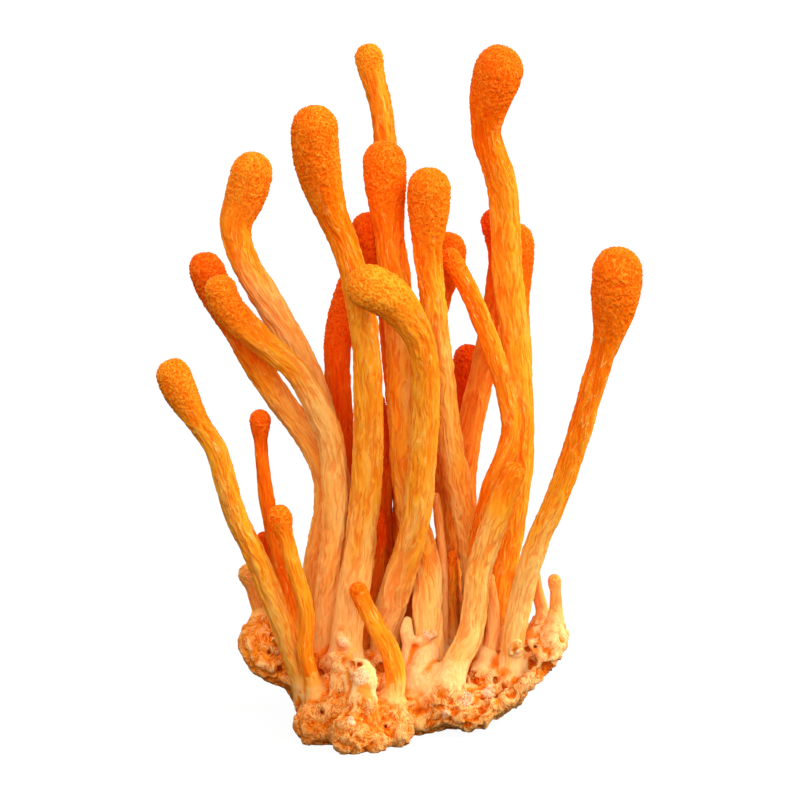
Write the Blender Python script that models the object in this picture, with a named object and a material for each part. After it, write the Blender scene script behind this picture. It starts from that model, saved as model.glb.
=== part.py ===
"""A bunch of cordyceps: club-shaped orange fruiting bodies on one lumpy mycelium mat.

Metres, +Z up, front towards -Y. The bunch stands on the flat cut under its mat, and the
origin is on that cut, in the middle of the mat. Every club is a solid of its own that is
rooted in a socket of the mat.
"""

import math
from dataclasses import dataclass

import bmesh
import bpy
from mathutils import Vector

MM = 0.001

# Driving dimensions, in millimetres
CONTACT_GAP = 0.3  # between a club's foot and its socket
FRONT_TO_ORIGIN = 12.0  # depth of the origin behind the mat's front edge
VIEW_TILT = math.radians(15.0)  # the clubs' routes are given in a front view tilted down
SOCKET_HEIGHT = 15.0  # a socket's cutter follows its club this far up from the root
UNDERSIDE_BLOCK = 80.0  # size of the block that cuts the mat's underside flat
MAT_GRID = 1.7  # fineness of the mat's surface
LUMP_FINENESS = 3
STEM_RING_STEP = 6.5
HEAD_RING_STEP = 2.7
CAP_RINGS = 3
CAP_REACH = 1.05  # length of a head's round end in head radii
HEAD_HOLD = 0.3  # share of the head that keeps its full thickness
FOOT_LENGTH = 7.0  # a foot widens over this length
THIN_RADIUS = 1.25  # clubs thinner than this have fewer sides
THICK_SIDES = 8
THIN_SIDES = 6
STEPS_PER_SPAN = 16  # fineness of a route's curve between two of its points
CLUB_ROUGHNESS = 0.6
MAT_ROUGHNESS = 0.8


@dataclass(frozen=True)
class Club:
    """One fruiting body: its radii and length of head, and its route from root to tip.

    The radii are those of the head, of the neck under it, of the stem at the root and of
    the foot that widens there. A route point is (across, up, depth) in millimetres in the
    tilted front view: across from the middle, up from the mat's lowest front edge, depth
    back from that edge.
    """

    name: str
    head: float
    head_length: float
    neck: float
    stem: float
    foot: float
    tone: tuple
    route: tuple


# Colours of clubs in the light and deeper in the bunch, of pale thin ones, and of the mat
LIT = (1.0, 0.36, 0.035)
WARM = (0.98, 0.27, 0.015)
DEEP = (0.85, 0.14, 0.008)
PALE = (1.0, 0.5, 0.14)
MAT_TONE = (0.86, 0.36, 0.12)

CLUBS = (
    Club("club_left_outer", 2.15, 10.5, 1.32, 1.42, 1.25, LIT, (
        (-11.4, 6.4, 12.2), (-12.1, 9.0, 11.7), (-14.6, 16.2, 10.2), (-18.2, 25.1, 8.8),
        (-20.6, 30.2, 8.0), (-21.9, 34.5, 7.2), (-23.1, 38.6, 6.6), (-25.6, 42.4, 6.2),
        (-27.7, 46.2, 6.0), (-28.8, 49.5, 6.0))),
    Club("club_small_back_left", 1.35, 4.6, 0.86, 0.9, 1.0, WARM, (
        (-12.6, 9.2, 16.5), (-13.0, 12.2, 16.3), (-14.6, 22.0, 15.8), (-16.1, 28.8, 15.4),
        (-16.9, 33.6, 15.0), (-17.4, 39.1, 14.6), (-17.5, 43.3, 14.4))),
    Club("club_small_front_left", 1.5, 4.4, 1.05, 1.0, 1.4, LIT, (
        (-9.3, 5.4, 9.3), (-9.8, 8.2, 9.1), (-11.5, 13.1, 8.6), (-11.8, 18.2, 8.4),
        (-13.8, 25.2, 8.4), (-14.9, 29.4, 8.6), (-15.0, 31.4, 8.7))),
    Club("club_left_front", 1.95, 12.0, 1.6, 1.6, 1.35, LIT, (
        (-9.6, 10.3, 18.7), (-9.7, 13.2, 18.4), (-9.1, 20.6, 17.6), (-8.1, 28.8, 16.7),
        (-8.5, 38.2, 15.6), (-10.1, 42.9, 15.1), (-12.9, 48.0, 14.5), (-16.5, 51.1, 14.0),
        (-19.8, 54.1, 13.5), (-21.8, 56.6, 13.2), (-22.8, 60.0, 13.0))),
    Club("club_left_middle", 2.2, 13.0, 1.62, 1.6, 1.4, WARM, (
        (-11.4, 11.2, 22.7), (-11.4, 14.4, 22.5), (-10.4, 24.1, 21.2), (-9.3, 30.4, 20.4),
        (-9.2, 34.6, 19.9), (-11.3, 39.4, 19.4), (-15.4, 45.0, 19.0), (-19.2, 51.2, 18.7),
        (-22.4, 56.8, 18.5), (-24.0, 60.5, 18.4), (-24.1, 62.9, 18.4))),
    Club("club_left_upper", 2.62, 12.5, 1.75, 1.7, 1.5, LIT, (
        (-6.5, 12.4, 24.9), (-6.6, 15.5, 24.9), (-7.0, 25.0, 24.8), (-8.0, 34.4, 24.4),
        (-9.9, 43.0, 23.7), (-13.0, 50.8, 23.2), (-16.3, 56.5, 23.0), (-19.2, 61.4, 23.0),
        (-20.5, 66.0, 23.2), (-19.5, 69.6, 23.5), (-18.6, 73.0, 23.7), (-18.7, 75.5, 23.8))),
    Club("club_left_inner", 1.88, 15.0, 1.6, 1.5, 1.4, DEEP, (
        (-6.4, 10.8, 28.8), (-6.3, 14.0, 28.7), (-6.2, 25.0, 28.6), (-6.9, 35.0, 28.4),
        (-7.5, 42.0, 28.3), (-7.8, 48.0, 28.4), (-7.7, 52.4, 28.7), (-6.6, 57.0, 29.2),
        (-5.4, 60.6, 29.7))),
    Club("club_centre_left", 2.88, 18.0, 1.75, 2.02, 2.3, LIT, (
        (-6.9, 9.2, 15.5), (-6.8, 12.8, 15.3), (-6.5, 16.5, 15.0), (-5.4, 23.5, 14.7),
        (-4.3, 32.2, 14.1), (-4.0, 42.0, 13.4), (-4.2, 50.9, 12.9), (-5.4, 58.6, 12.6),
        (-6.7, 63.4, 12.4), (-9.1, 69.5, 12.0), (-10.4, 75.6, 11.4), (-10.6, 81.1, 11.0))),
    Club("club_centre_stub", 1.2, 4.0, 1.15, 1.2, 1.2, DEEP, (
        (-4.9, 9.3, 21.4), (-4.8, 12.4, 21.2), (-4.0, 18.0, 20.7), (-2.9, 24.0, 19.7),
        (-2.7, 28.0, 18.9), (-3.2, 31.0, 18.6))),
    Club("club_centre_low", 1.5, 7.0, 1.38, 1.38, 1.4, DEEP, (
        (-2.4, 11.2, 25.3), (-2.5, 14.5, 25.0), (-2.5, 24.0, 23.9), (-2.8, 32.0, 22.0),
        (-2.7, 38.5, 20.7), (-3.2, 42.5, 20.0), (-3.9, 45.6, 19.6))),
    Club("club_bent", 2.78, 13.5, 1.72, 1.85, 1.8, LIT, (
        (-2.1, 9.4, 19.4), (-1.9, 12.6, 19.0), (-1.4, 17.6, 17.5), (0.0, 22.5, 15.2),
        (1.7, 28.6, 13.2), (2.6, 34.8, 12.0), (3.2, 42.0, 11.0), (3.1, 48.5, 9.9),
        (2.2, 52.6, 9.0), (-0.5, 56.5, 8.0), (-3.0, 58.2, 7.4), (-6.5, 59.5, 7.2))),
    Club("club_centre_hidden", 2.1, 10.0, 1.45, 1.45, 1.45, DEEP, (
        (0.9, 10.4, 23.6), (0.8, 13.6, 23.3), (0.8, 25.0, 22.8), (0.3, 37.0, 22.4),
        (-0.4, 45.8, 22.0), (-1.0, 53.3, 21.7), (-2.1, 59.5, 21.3), (-3.8, 65.1, 21.0),
        (-4.2, 67.9, 21.0))),
    Club("club_centre", 2.58, 13.0, 1.78, 1.75, 1.95, LIT, (
        (3.4, 6.6, 15.8), (3.5, 9.6, 15.7), (3.6, 13.4, 15.9), (3.4, 18.0, 16.6),
        (3.3, 23.2, 17.9), (2.3, 27.4, 18.2), (1.1, 31.4, 18.1), (0.5, 39.0, 17.8),
        (0.1, 49.4, 17.4), (-0.4, 58.3, 17.2), (-1.2, 63.4, 17.3), (-1.8, 71.0, 17.8),
        (-2.0, 76.8, 18.2))),
    Club("club_tall_back", 1.72, 5.5, 1.45, 1.42, 1.4, WARM, (
        (2.3, 11.6, 27.6), (2.2, 14.8, 27.4), (1.7, 24.0, 27.1), (0.9, 33.0, 26.8),
        (0.0, 42.0, 26.6), (-0.4, 52.0, 26.6), (-1.1, 62.0, 27.2), (-1.6, 70.0, 28.6),
        (-1.9, 76.8, 30.2), (-2.4, 81.4, 31.5), (-3.7, 86.2, 32.8), (-4.1, 89.1, 33.4))),
    Club("club_centre_right", 2.66, 13.5, 1.55, 1.6, 1.6, LIT, (
        (10.1, 10.8, 24.3), (10.0, 14.0, 24.1), (9.7, 18.0, 23.3), (9.2, 23.5, 22.0),
        (8.3, 29.0, 20.7), (7.0, 35.6, 18.4), (5.9, 42.0, 16.9), (4.8, 50.2, 15.9),
        (4.1, 56.9, 15.4), (3.5, 63.2, 15.0), (3.6, 68.4, 14.6), (3.8, 73.3, 14.2))),
    Club("club_right_hidden", 2.4, 9.5, 1.45, 1.4, 1.4, WARM, (
        (6.5, 10.8, 25.2), (6.5, 14.0, 25.0), (6.3, 24.0, 24.7), (5.6, 32.0, 24.0),
        (5.2, 39.0, 23.7), (4.7, 46.5, 23.7), (4.3, 52.6, 23.9), (5.0, 57.6, 24.3),
        (5.8, 61.6, 24.6), (5.9, 65.5, 24.8))),
    Club("club_crossing", 1.28, 6.0, 1.17, 1.36, 1.3, LIT, (
        (9.0, 9.2, 18.1), (9.0, 12.4, 18.2), (9.3, 19.5, 18.6), (9.8, 25.0, 18.4),
        (10.6, 30.2, 17.7), (11.8, 34.3, 17.4), (13.4, 38.1, 17.3), (13.9, 41.6, 17.3),
        (12.9, 46.9, 17.3), (11.2, 52.0, 17.5), (9.2, 56.8, 18.0), (6.6, 61.7, 18.7),
        (5.4, 63.2, 18.9))),
    Club("club_dark_back", 1.78, 8.0, 1.65, 1.65, 1.55, DEEP, (
        (8.2, 10.6, 28.8), (8.1, 13.8, 28.7), (8.1, 24.0, 28.0), (7.9, 32.0, 27.0),
        (8.0, 36.5, 26.6), (9.1, 42.8, 26.3), (10.7, 49.4, 26.2), (12.2, 56.9, 26.3),
        (12.7, 61.8, 26.5), (12.4, 65.0, 26.7), (11.3, 68.4, 27.0))),
    Club("club_right_inner", 2.4, 10.0, 1.5, 1.45, 1.4, WARM, (
        (12.2, 11.8, 27.6), (12.2, 14.9, 27.5), (13.3, 24.5, 28.1), (14.7, 34.0, 28.9),
        (14.9, 44.0, 29.8), (14.7, 52.0, 30.5), (14.6, 60.0, 31.1), (14.3, 66.6, 31.5))),
    Club("club_tall_right", 3.0, 12.0, 1.85, 1.82, 1.5, LIT, (
        (12.2, 10.8, 19.9), (12.2, 13.9, 19.7), (12.5, 18.0, 19.9), (13.1, 24.5, 20.4),
        (14.1, 30.6, 20.9), (14.9, 38.0, 21.2), (14.9, 44.0, 21.4), (14.4, 52.1, 21.5),
        (13.4, 61.0, 21.5), (13.1, 67.5, 21.2), (12.5, 72.4, 20.6), (10.8, 77.1, 19.8),
        (11.0, 81.1, 19.2), (12.2, 85.2, 18.8), (13.0, 88.5, 18.6))),
    Club("club_low_back", 1.85, 6.5, 1.35, 1.35, 1.35, DEEP, (
        (4.6, 10.9, 30.8), (4.7, 14.0, 30.8), (5.5, 24.0, 30.8), (6.8, 34.0, 30.6),
        (7.8, 43.0, 30.6), (8.5, 48.6, 30.9), (9.1, 51.4, 31.1))),
    Club("club_curved_right", 1.52, 5.0, 1.52, 1.6, 2.05, LIT, (
        (5.4, 7.0, 11.3), (6.2, 9.6, 11.6), (7.3, 12.2, 12.2), (8.6, 14.8, 12.9),
        (9.4, 18.2, 13.3), (10.0, 23.5, 13.4), (11.9, 29.6, 13.2), (13.5, 33.9, 12.9),
        (14.6, 36.6, 12.7))),
    Club("club_stub_right", 0.8, 3.0, 0.82, 0.85, 0.95, PALE, (
        (10.6, 8.6, 15.8), (10.8, 11.4, 15.7), (11.5, 14.8, 15.9), (11.6, 18.2, 16.2),
        (11.2, 21.0, 16.4), (10.9, 22.9, 16.5))),
    Club("club_right_outer", 3.15, 15.0, 1.5, 1.38, 1.65, LIT, (
        (13.7, 8.2, 15.2), (13.9, 11.4, 15.0), (14.4, 16.1, 14.6), (15.7, 22.0, 14.0),
        (17.3, 27.0, 13.4), (19.6, 32.4, 12.7), (21.6, 37.9, 12.0), (23.4, 44.0, 11.3),
        (25.0, 49.4, 10.7), (26.3, 54.0, 10.3), (27.0, 59.0, 9.9), (27.1, 63.4, 9.6))),
    Club("club_small_front", 1.12, 3.0, 1.14, 1.2, 1.45, LIT, (
        (-1.5, 3.8, 8.5), (-1.1, 6.4, 8.2), (-0.6, 9.8, 8.4), (-1.3, 13.2, 8.9),
        (-3.1, 16.4, 9.4), (-4.7, 19.4, 9.7), (-5.6, 21.7, 9.8))),
    Club("club_thin_pale", 0.55, 2.0, 0.55, 0.6, 0.6, PALE, (
        (5.6, 11.0, 19.0), (5.5, 14.0, 19.0), (5.5, 22.0, 19.4), (5.0, 28.0, 19.7),
        (4.4, 32.9, 19.4))),
    Club("club_thin_right", 0.75, 2.5, 0.72, 0.75, 0.9, PALE, (
        (18.5, 15.4, 20.5), (18.0, 17.6, 20.2), (17.2, 20.5, 19.9), (16.8, 22.6, 19.6),
        (16.4, 24.5, 19.4))),
    Club("bud_ragged", 0.62, 3.6, 1.0, 1.0, 0.8, WARM, (
        (6.6, 11.4, 21.5), (6.5, 14.2, 21.5), (6.2, 19.5, 21.6), (6.3, 22.6, 21.3),
        (6.6, 25.6, 20.5))),
    Club("bud_left_back", 1.4, 3.4, 0.95, 0.9, 0.9, PALE, (
        (-16.9, 14.2, 16.8), (-17.3, 17.0, 16.9), (-18.0, 19.6, 17.1), (-18.7, 22.2, 17.2),
        (-19.2, 24.0, 17.3))),
    Club("bud_left_tiny", 0.95, 3.0, 0.85, 0.85, 0.85, DEEP, (
        (-15.4, 12.6, 19.6), (-15.6, 16.0, 19.4), (-16.2, 21.4, 18.9), (-16.8, 25.4, 18.6),
        (-17.2, 28.0, 18.4))),
    Club("bud_right", 0.82, 2.6, 0.66, 0.75, 0.95, PALE, (
        (19.4, 15.3, 16.3), (19.5, 17.2, 16.2), (19.5, 19.6, 16.1), (19.4, 21.2, 16.0),
        (19.2, 22.7, 16.0))),
)

# Lumps that the mat grew from: x, y, z and radius in millimetres
MAT_LUMPS = (
    # front, left to right
    (-10.5, -5.0, 2.2, 2.8), (-6.2, -9.5, 2.0, 2.6), (-2.9, -9.0, 1.0, 1.5),
    (-0.5, -6.5, 1.5, 2.0), (-6.5, -5.0, 3.2, 3.6), (-4.6, -7.8, 6.0, 2.1),
    (-4.9, -6.0, 9.0, 1.9), (-2.0, -3.6, 2.6, 3.4),
    # middle of the front half
    (-7.6, 0.6, 3.6, 4.2), (-2.6, 0.5, 3.0, 4.2), (2.4, 1.0, 2.6, 3.6), (5.4, 2.4, 3.2, 3.6),
    (9.1, 0.9, 2.6, 2.9), (10.6, 4.4, 4.2, 3.9), (13.6, 5.8, 5.9, 3.1),
    # middle of the back half
    (-9.6, 6.4, 4.4, 4.4), (-4.6, 7.0, 4.0, 4.6), (0.4, 7.0, 3.8, 4.6), (5.4, 7.6, 4.0, 4.6),
    (10.0, 9.0, 4.2, 4.4), (-10.2, 11.2, 4.4, 4.0), (-6.0, 13.2, 4.0, 4.6),
    (-1.0, 13.6, 3.8, 4.6), (4.4, 14.0, 3.8, 4.6), (9.2, 14.2, 3.8, 4.2), (12.8, 11.0, 5.2, 3.4),
    # back edge
    (-6.0, 17.2, 2.6, 3.4), (1.4, 17.8, 2.6, 3.2), (6.0, 18.6, 2.6, 3.2),
    (12.2, 15.0, 4.4, 3.0),
    # low, where the mat is cut flat
    (-5.0, 1.0, 0.5, 4.0), (0.0, 1.5, 0.5, 4.2), (4.6, 5.0, 0.5, 3.8), (-5.0, 7.0, 0.5, 4.4),
    (0.5, 8.0, 0.5, 4.4), (6.0, 11.0, 0.5, 4.2), (-4.0, 13.0, 0.5, 4.2), (1.5, 14.5, 0.5, 4.0),
    (-8.5, 10.0, 0.5, 3.4), (9.0, 8.5, 0.5, 3.4), (-4.5, -5.5, 0.4, 3.0), (6.5, 16.0, 0.5, 3.0),
    # left arm, rising
    (-13.6, 3.2, 6.8, 2.4), (-14.8, 5.6, 8.6, 2.9), (-16.4, 2.6, 8.4, 2.5),
    (-17.8, 3.4, 10.4, 2.4), (-17.0, 4.6, 11.9, 2.3), (-15.4, 7.6, 10.0, 2.5),
    # right arm, rising
    (16.0, 5.6, 7.8, 2.6), (17.8, 5.6, 9.7, 2.1), (19.2, 4.4, 10.7, 1.8), (18.3, 8.4, 10.3, 2.5),
)


def clear_scene():
    """Remove every object that the file starts with."""
    for item in list(bpy.data.objects):
        bpy.data.objects.remove(item, do_unlink=True)


def finish_material(name, colour, roughness):
    """A Principled material with one colour."""
    material = bpy.data.materials.new(name)
    material.use_nodes = True
    shader = material.node_tree.nodes["Principled BSDF"]
    shader.inputs["Base Color"].default_value = (*colour, 1.0)
    shader.inputs["Roughness"].default_value = roughness
    shader.inputs["Metallic"].default_value = 0.0
    return material


def from_front_view(point):
    """World millimetres of a route point given in the tilted front view."""
    across, up, depth = point
    height = (up - depth * math.sin(VIEW_TILT)) / math.cos(VIEW_TILT)
    return Vector((across, depth - FRONT_TO_ORIGIN, height))


def smooth_curve(points):
    """Points of a Catmull-Rom curve that passes through all the given points."""
    ends = [points[0] * 2 - points[1], *points, points[-1] * 2 - points[-2]]
    curve = []
    for before, start, end, after in zip(ends, ends[1:], ends[2:], ends[3:]):
        for step in range(STEPS_PER_SPAN):
            t = step / STEPS_PER_SPAN
            curve.append(0.5 * (
                2 * start + (end - before) * t
                + (2 * before - 5 * start + 4 * end - after) * t ** 2
                + (3 * start - before - 3 * end + after) * t ** 3))
    curve.append(points[-1])
    return curve


def lengths_along(curve):
    """Distance of each curve point from the curve's start."""
    lengths = [0.0]
    for start, end in zip(curve, curve[1:]):
        lengths.append(lengths[-1] + (end - start).length)
    return lengths


def point_at(curve, lengths, distance):
    """Point of the curve at a distance from its start, beyond its start too."""
    if distance <= 0:
        return curve[0] + (curve[1] - curve[0]).normalized() * distance
    for index, reach in enumerate(lengths[1:], start=1):
        if distance <= reach:
            share = (distance - lengths[index - 1]) / (reach - lengths[index - 1])
            return curve[index - 1].lerp(curve[index], share)
    return curve[-1]


def smoothstep(value):
    """Smooth change from 0 to 1."""
    value = min(max(value, 0.0), 1.0)
    return value * value * (3 - 2 * value)


def club_radius(club, from_root, total):
    """Radius of a club at a distance from its root."""
    from_tip = total - from_root
    cap = club.head * CAP_REACH
    if from_tip < cap:
        return club.head * math.sqrt(max(0.0, 1 - (1 - from_tip / cap) ** 2))
    hold = max(cap, club.head_length * HEAD_HOLD)
    if from_tip < club.head_length:
        taper = smoothstep((from_tip - hold) / (club.head_length - hold))
        return club.head + (club.neck - club.head) * taper
    along = (from_tip - club.head_length) / (total - club.head_length)
    radius = club.neck + (club.stem - club.neck) * along
    return radius + (club.foot - club.stem) * smoothstep(1 - from_root / FOOT_LENGTH)


def ring_distances(club, total):
    """Distances from the root of a club's rings, without the tip."""
    cap = club.head * CAP_REACH
    stem_end = total - club.head_length
    stem_steps = max(2, round(stem_end / STEM_RING_STEP))
    head_steps = max(1, round((club.head_length - cap) / HEAD_RING_STEP))
    distances = [stem_end * step / stem_steps for step in range(stem_steps)]
    distances += [stem_end + (club.head_length - cap) * step / head_steps
                  for step in range(head_steps)]
    distances += [total - cap * (1 - math.sin(step / CAP_RINGS * math.pi / 2))
                  for step in range(CAP_RINGS)]
    return distances


def corner_reach(sides):
    """Distance of a polygon's corners where it has the area of a circle of radius 1."""
    return math.sqrt(2 * math.pi / (sides * math.sin(2 * math.pi / sides)))


def add_tube(mesh, centres, radii, sides, tip=None):
    """Add a closed tube of rings, with a pole at its tip or a flat end."""
    rings = []
    side = None
    for index, centre in enumerate(centres):
        before = centres[max(index - 1, 0)]
        after = centres[min(index + 1, len(centres) - 1)]
        along = (after - before).normalized()
        if side is None:
            side = Vector((1, 0, 0))
        side = (side - along * side.dot(along)).normalized()
        across = along.cross(side)
        radius = radii[index] * corner_reach(sides)
        ring = []
        for corner in range(sides):
            turn = 2 * math.pi * corner / sides
            offset = side * math.cos(turn) + across * math.sin(turn)
            ring.append(mesh.verts.new((centre + offset * radius) * MM))
        rings.append(ring)
    for lower, upper in zip(rings, rings[1:]):
        for corner in range(sides):
            following = (corner + 1) % sides
            mesh.faces.new((lower[corner], lower[following], upper[following], upper[corner]))
    mesh.faces.new(list(reversed(rings[0])))
    if tip is None:
        mesh.faces.new(rings[-1])
        return
    pole = mesh.verts.new(tip * MM)
    for corner in range(sides):
        mesh.faces.new((rings[-1][corner], rings[-1][(corner + 1) % sides], pole))


def new_object(name, mesh, material=None):
    """Put a bmesh in the scene as an object."""
    data = bpy.data.meshes.new(name)
    bmesh.ops.recalc_face_normals(mesh, faces=mesh.faces)
    mesh.to_mesh(data)
    mesh.free()
    item = bpy.data.objects.new(name, data)
    bpy.context.scene.collection.objects.link(item)
    if material is not None:
        data.materials.append(material)
    return item


def club_sides(club):
    """Number of sides of a club's tube."""
    return THIN_SIDES if club.stem < THIN_RADIUS else THICK_SIDES


def build_club(club):
    """The solid of one club."""
    curve = smooth_curve([from_front_view(point) for point in club.route])
    lengths = lengths_along(curve)
    total = lengths[-1]
    distances = ring_distances(club, total)
    mesh = bmesh.new()
    add_tube(mesh,
             [point_at(curve, lengths, distance) for distance in distances],
             [club_radius(club, distance, total) for distance in distances],
             club_sides(club), tip=curve[-1])
    item = new_object(club.name, mesh,
                      finish_material(club.name, club.tone, CLUB_ROUGHNESS))
    item.data.shade_smooth()
    return item


def build_socket_cutter(club):
    """The tool that sinks one club's socket into the mat."""
    curve = smooth_curve([from_front_view(point) for point in club.route])
    lengths = lengths_along(curve)
    total = lengths[-1]
    reach = min(SOCKET_HEIGHT, total - club.head_length)
    inner = [distance for distance in ring_distances(club, total) if distance < reach]
    distances = [-CONTACT_GAP, *inner[1:], reach]
    mesh = bmesh.new()
    add_tube(mesh,
             [point_at(curve, lengths, distance) for distance in distances],
             [club_radius(club, max(distance, 0.0), total) + CONTACT_GAP
              for distance in distances],
             club_sides(club))
    item = new_object(club.name + "_socket", mesh)
    item.hide_render = True
    item.display_type = "WIRE"
    return item


def build_underside_cutter():
    """The block that cuts the mat flat at the height of what it stands on."""
    mesh = bmesh.new()
    bmesh.ops.create_cube(mesh, size=UNDERSIDE_BLOCK * MM)
    bmesh.ops.translate(mesh, verts=mesh.verts, vec=(0, 0, -UNDERSIDE_BLOCK / 2 * MM))
    item = new_object("underside_cutter", mesh)
    item.hide_render = True
    item.display_type = "WIRE"
    return item


def build_mat(cutters):
    """The lumpy mat that every club grows from, with a socket for each foot."""
    mesh = bmesh.new()
    for x, y, z, radius in MAT_LUMPS:
        lump = bmesh.ops.create_icosphere(mesh, subdivisions=LUMP_FINENESS,
                                          radius=radius * MM)
        bmesh.ops.translate(mesh, verts=lump["verts"], vec=Vector((x, y, z)) * MM)
    mat = new_object("mycelium_mat", mesh,
                     finish_material("mycelium_mat", MAT_TONE, MAT_ROUGHNESS))
    grown = mat.modifiers.new("grown_together", "REMESH")
    grown.mode = "VOXEL"
    grown.voxel_size = MAT_GRID * MM
    grown.use_smooth_shade = True
    cut = mat.modifiers.new("sockets_and_underside", "BOOLEAN")
    cut.operation = "DIFFERENCE"
    cut.solver = "EXACT"
    cut.operand_type = "COLLECTION"
    cut.collection = cutters
    return mat


def main():
    """Build the whole bunch."""
    clear_scene()
    cutters = bpy.data.collections.new("mat_cutters")
    bpy.context.scene.collection.children.link(cutters)
    cutters.objects.link(build_underside_cutter())
    for club in CLUBS:
        build_club(club)
        cutters.objects.link(build_socket_cutter(club))
    build_mat(cutters)


main()
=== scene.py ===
"""The looks of a cordyceps bunch: grainy orange clubs on a lumpy, pitted mycelium mat.

Metres, +Z up, front towards -Y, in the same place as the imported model. Lengths in this
file are millimetres until they go into a mesh.
"""

import logging
import math
from dataclasses import dataclass
from enum import Enum
from functools import partial, reduce

import bmesh
import bpy
import numpy as np
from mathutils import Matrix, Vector


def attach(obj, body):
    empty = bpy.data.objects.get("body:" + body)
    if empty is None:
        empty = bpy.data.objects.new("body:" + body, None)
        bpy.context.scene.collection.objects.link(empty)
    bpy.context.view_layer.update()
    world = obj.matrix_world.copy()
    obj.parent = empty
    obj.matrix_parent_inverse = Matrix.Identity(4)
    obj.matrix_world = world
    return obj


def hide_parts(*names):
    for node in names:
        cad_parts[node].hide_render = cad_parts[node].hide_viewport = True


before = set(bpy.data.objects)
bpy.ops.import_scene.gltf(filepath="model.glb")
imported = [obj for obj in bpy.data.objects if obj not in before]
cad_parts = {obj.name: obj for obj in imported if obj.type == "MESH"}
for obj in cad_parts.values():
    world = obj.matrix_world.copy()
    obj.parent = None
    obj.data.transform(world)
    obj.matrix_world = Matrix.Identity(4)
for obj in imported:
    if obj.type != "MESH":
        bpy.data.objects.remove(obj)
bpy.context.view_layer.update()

LOG = logging.getLogger("cordyceps")

MM = 0.001

# Driving dimensions, in millimetres, the same as the solids'
FRONT_TO_ORIGIN = 12.0  # depth of the origin behind the mat's front edge
VIEW_TILT = math.radians(15.0)  # the clubs' routes are given in a front view tilted down
CAP_REACH = 1.05  # length of a head's round end in head radii
HEAD_HOLD = 0.3  # share of the head that keeps its full thickness
FOOT_LENGTH = 7.0  # a foot widens over this length
STEPS_PER_SPAN = 16  # fineness of a route's curve between two of its points

# Fineness of the skin
STEM_STEP = 0.31  # between the rings of a stem
HEAD_STEP = 0.17  # between the rings of a head
SIDE_STEP = 0.16  # between the corners of a ring
FEWEST_SIDES = 24  # corners of the thinnest rings
SHORTEST_STEM = 0.2  # share of a club that always has the rings of a stem
CAP_STEPS = 30  # rings in a head's round end
CAP_TURN = math.pi / 2 * 0.985  # how far the round end turns before it is closed

# Where a club's marks hold and how far they fade
GRAIN_HOLD, GRAIN_FADE = 0.35, 0.6  # shares of the head, from the tip
RIPE_HOLD, RIPE_FADE = 0.5, 1.3  # shares of the head, from the tip
FOOT_HOLD, FOOT_FADE = 0.3, 0.7  # shares of the pale foot's length, from the root

# The photograph's frame
FRAME_WIDTH = 100.0  # width of the object's plane that the frame shows
FRAME_MIDDLE = 44.5  # height of the frame's middle above the mat's lowest front edge
FRAME_DEPTH = 17.0  # depth of the object's plane
CAMERA_DISTANCE = 4000.0
SENSOR_WIDTH = 36.0

MIDDLE = 0.5  # of a noise
WHITE = (1.0, 1.0, 1.0, 1.0)
PRINCIPLED = "Principled BSDF"

Colour = tuple[float, float, float]
Item = bpy.types.Object
Tree = bpy.types.NodeTree
Socket = bpy.types.NodeSocket
Ball = tuple[np.ndarray, float]


class Tone(Enum):
    """How deep a club's orange is, with painted shade for the clubs further back in the bunch."""

    LIT = "flesh_bright"
    # A copy of the lit flesh, darkened by some painted shade, for clubs partly hidden in the bunch
    HALF_SHADED = "flesh_warm"
    # A copy of the lit flesh, darkened by painted shade, for clubs far back in the bunch
    DEEP = "flesh_deep"
    PALE = "flesh_pale"


@dataclass(frozen=True, kw_only=True)
class Surface:
    """How a skin takes the light. Depths are in millimetres."""

    sheen: float = 0.02
    subsurface: float = 0.3
    bleed: Colour = (1.0, 0.35, 0.12)
    bleed_depth: float = 0.9
    bump: float = 0.6
    bump_depth: float = 0.1


@dataclass(frozen=True)
class FleshFinish(Surface):
    """The finish of a club's skin, from its ripe orange down to its cream foot, with the colours of its
    painted shade in the furrows and painted highlight on the ridges.
    """

    ripe: Colour
    peach: Colour
    cream: Colour
    head: Colour
    # Painted shade for the furrows and thin lines, and painted highlight for the ridges, pale dashes and
    # flakes
    furrow_shade: Colour
    ridge_highlight: Colour
    roughness: float = 0.62


@dataclass(frozen=True)
class MatFinish(Surface):
    """The finish of the mycelium mat, with the colours of its painted shade and painted highlight."""

    cream: Colour
    peach: Colour
    # Also the painted shade in the mat's shallow creases, besides its own orange patches
    ember: Colour
    # Painted shade in the hollows and deep creases
    pit: Colour
    # Painted shade on faces that look down and on the parts near the floor
    underside_shade: Colour
    fibre: Colour
    # Also the painted highlight on what stands proud, besides the colour of the feet
    foot: Colour
    blush: Colour
    # Painted shade in the grooves of the strands
    strand_shade: Colour


# Two of these finishes are the lit flesh darkened by painted shade, for clubs further back in the bunch
FLESH = {
    Tone.LIT: FleshFinish((0.94, 0.186, 0.003), (0.95, 0.335, 0.015), (0.96, 0.515, 0.14),
                          (0.92, 0.148, 0.002), (0.9, 0.52, 0.3), (0.98, 0.53, 0.12)),
    Tone.HALF_SHADED: FleshFinish((0.92, 0.15, 0.002), (0.93, 0.29, 0.013), (0.94, 0.44, 0.09),
                           (0.9, 0.125, 0.002), (0.88, 0.5, 0.3), (0.96, 0.44, 0.08)),
    Tone.DEEP: FleshFinish((0.86, 0.09, 0.001), (0.9, 0.16, 0.005), (0.92, 0.3, 0.03),
                           (0.85, 0.08, 0.001), (0.88, 0.5, 0.36), (0.93, 0.24, 0.02)),
    Tone.PALE: FleshFinish((0.91, 0.22, 0.02), (0.92, 0.34, 0.06), (0.94, 0.45, 0.13),
                           (0.91, 0.2, 0.016), (0.92, 0.62, 0.45), (0.97, 0.53, 0.16)),
}
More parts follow.
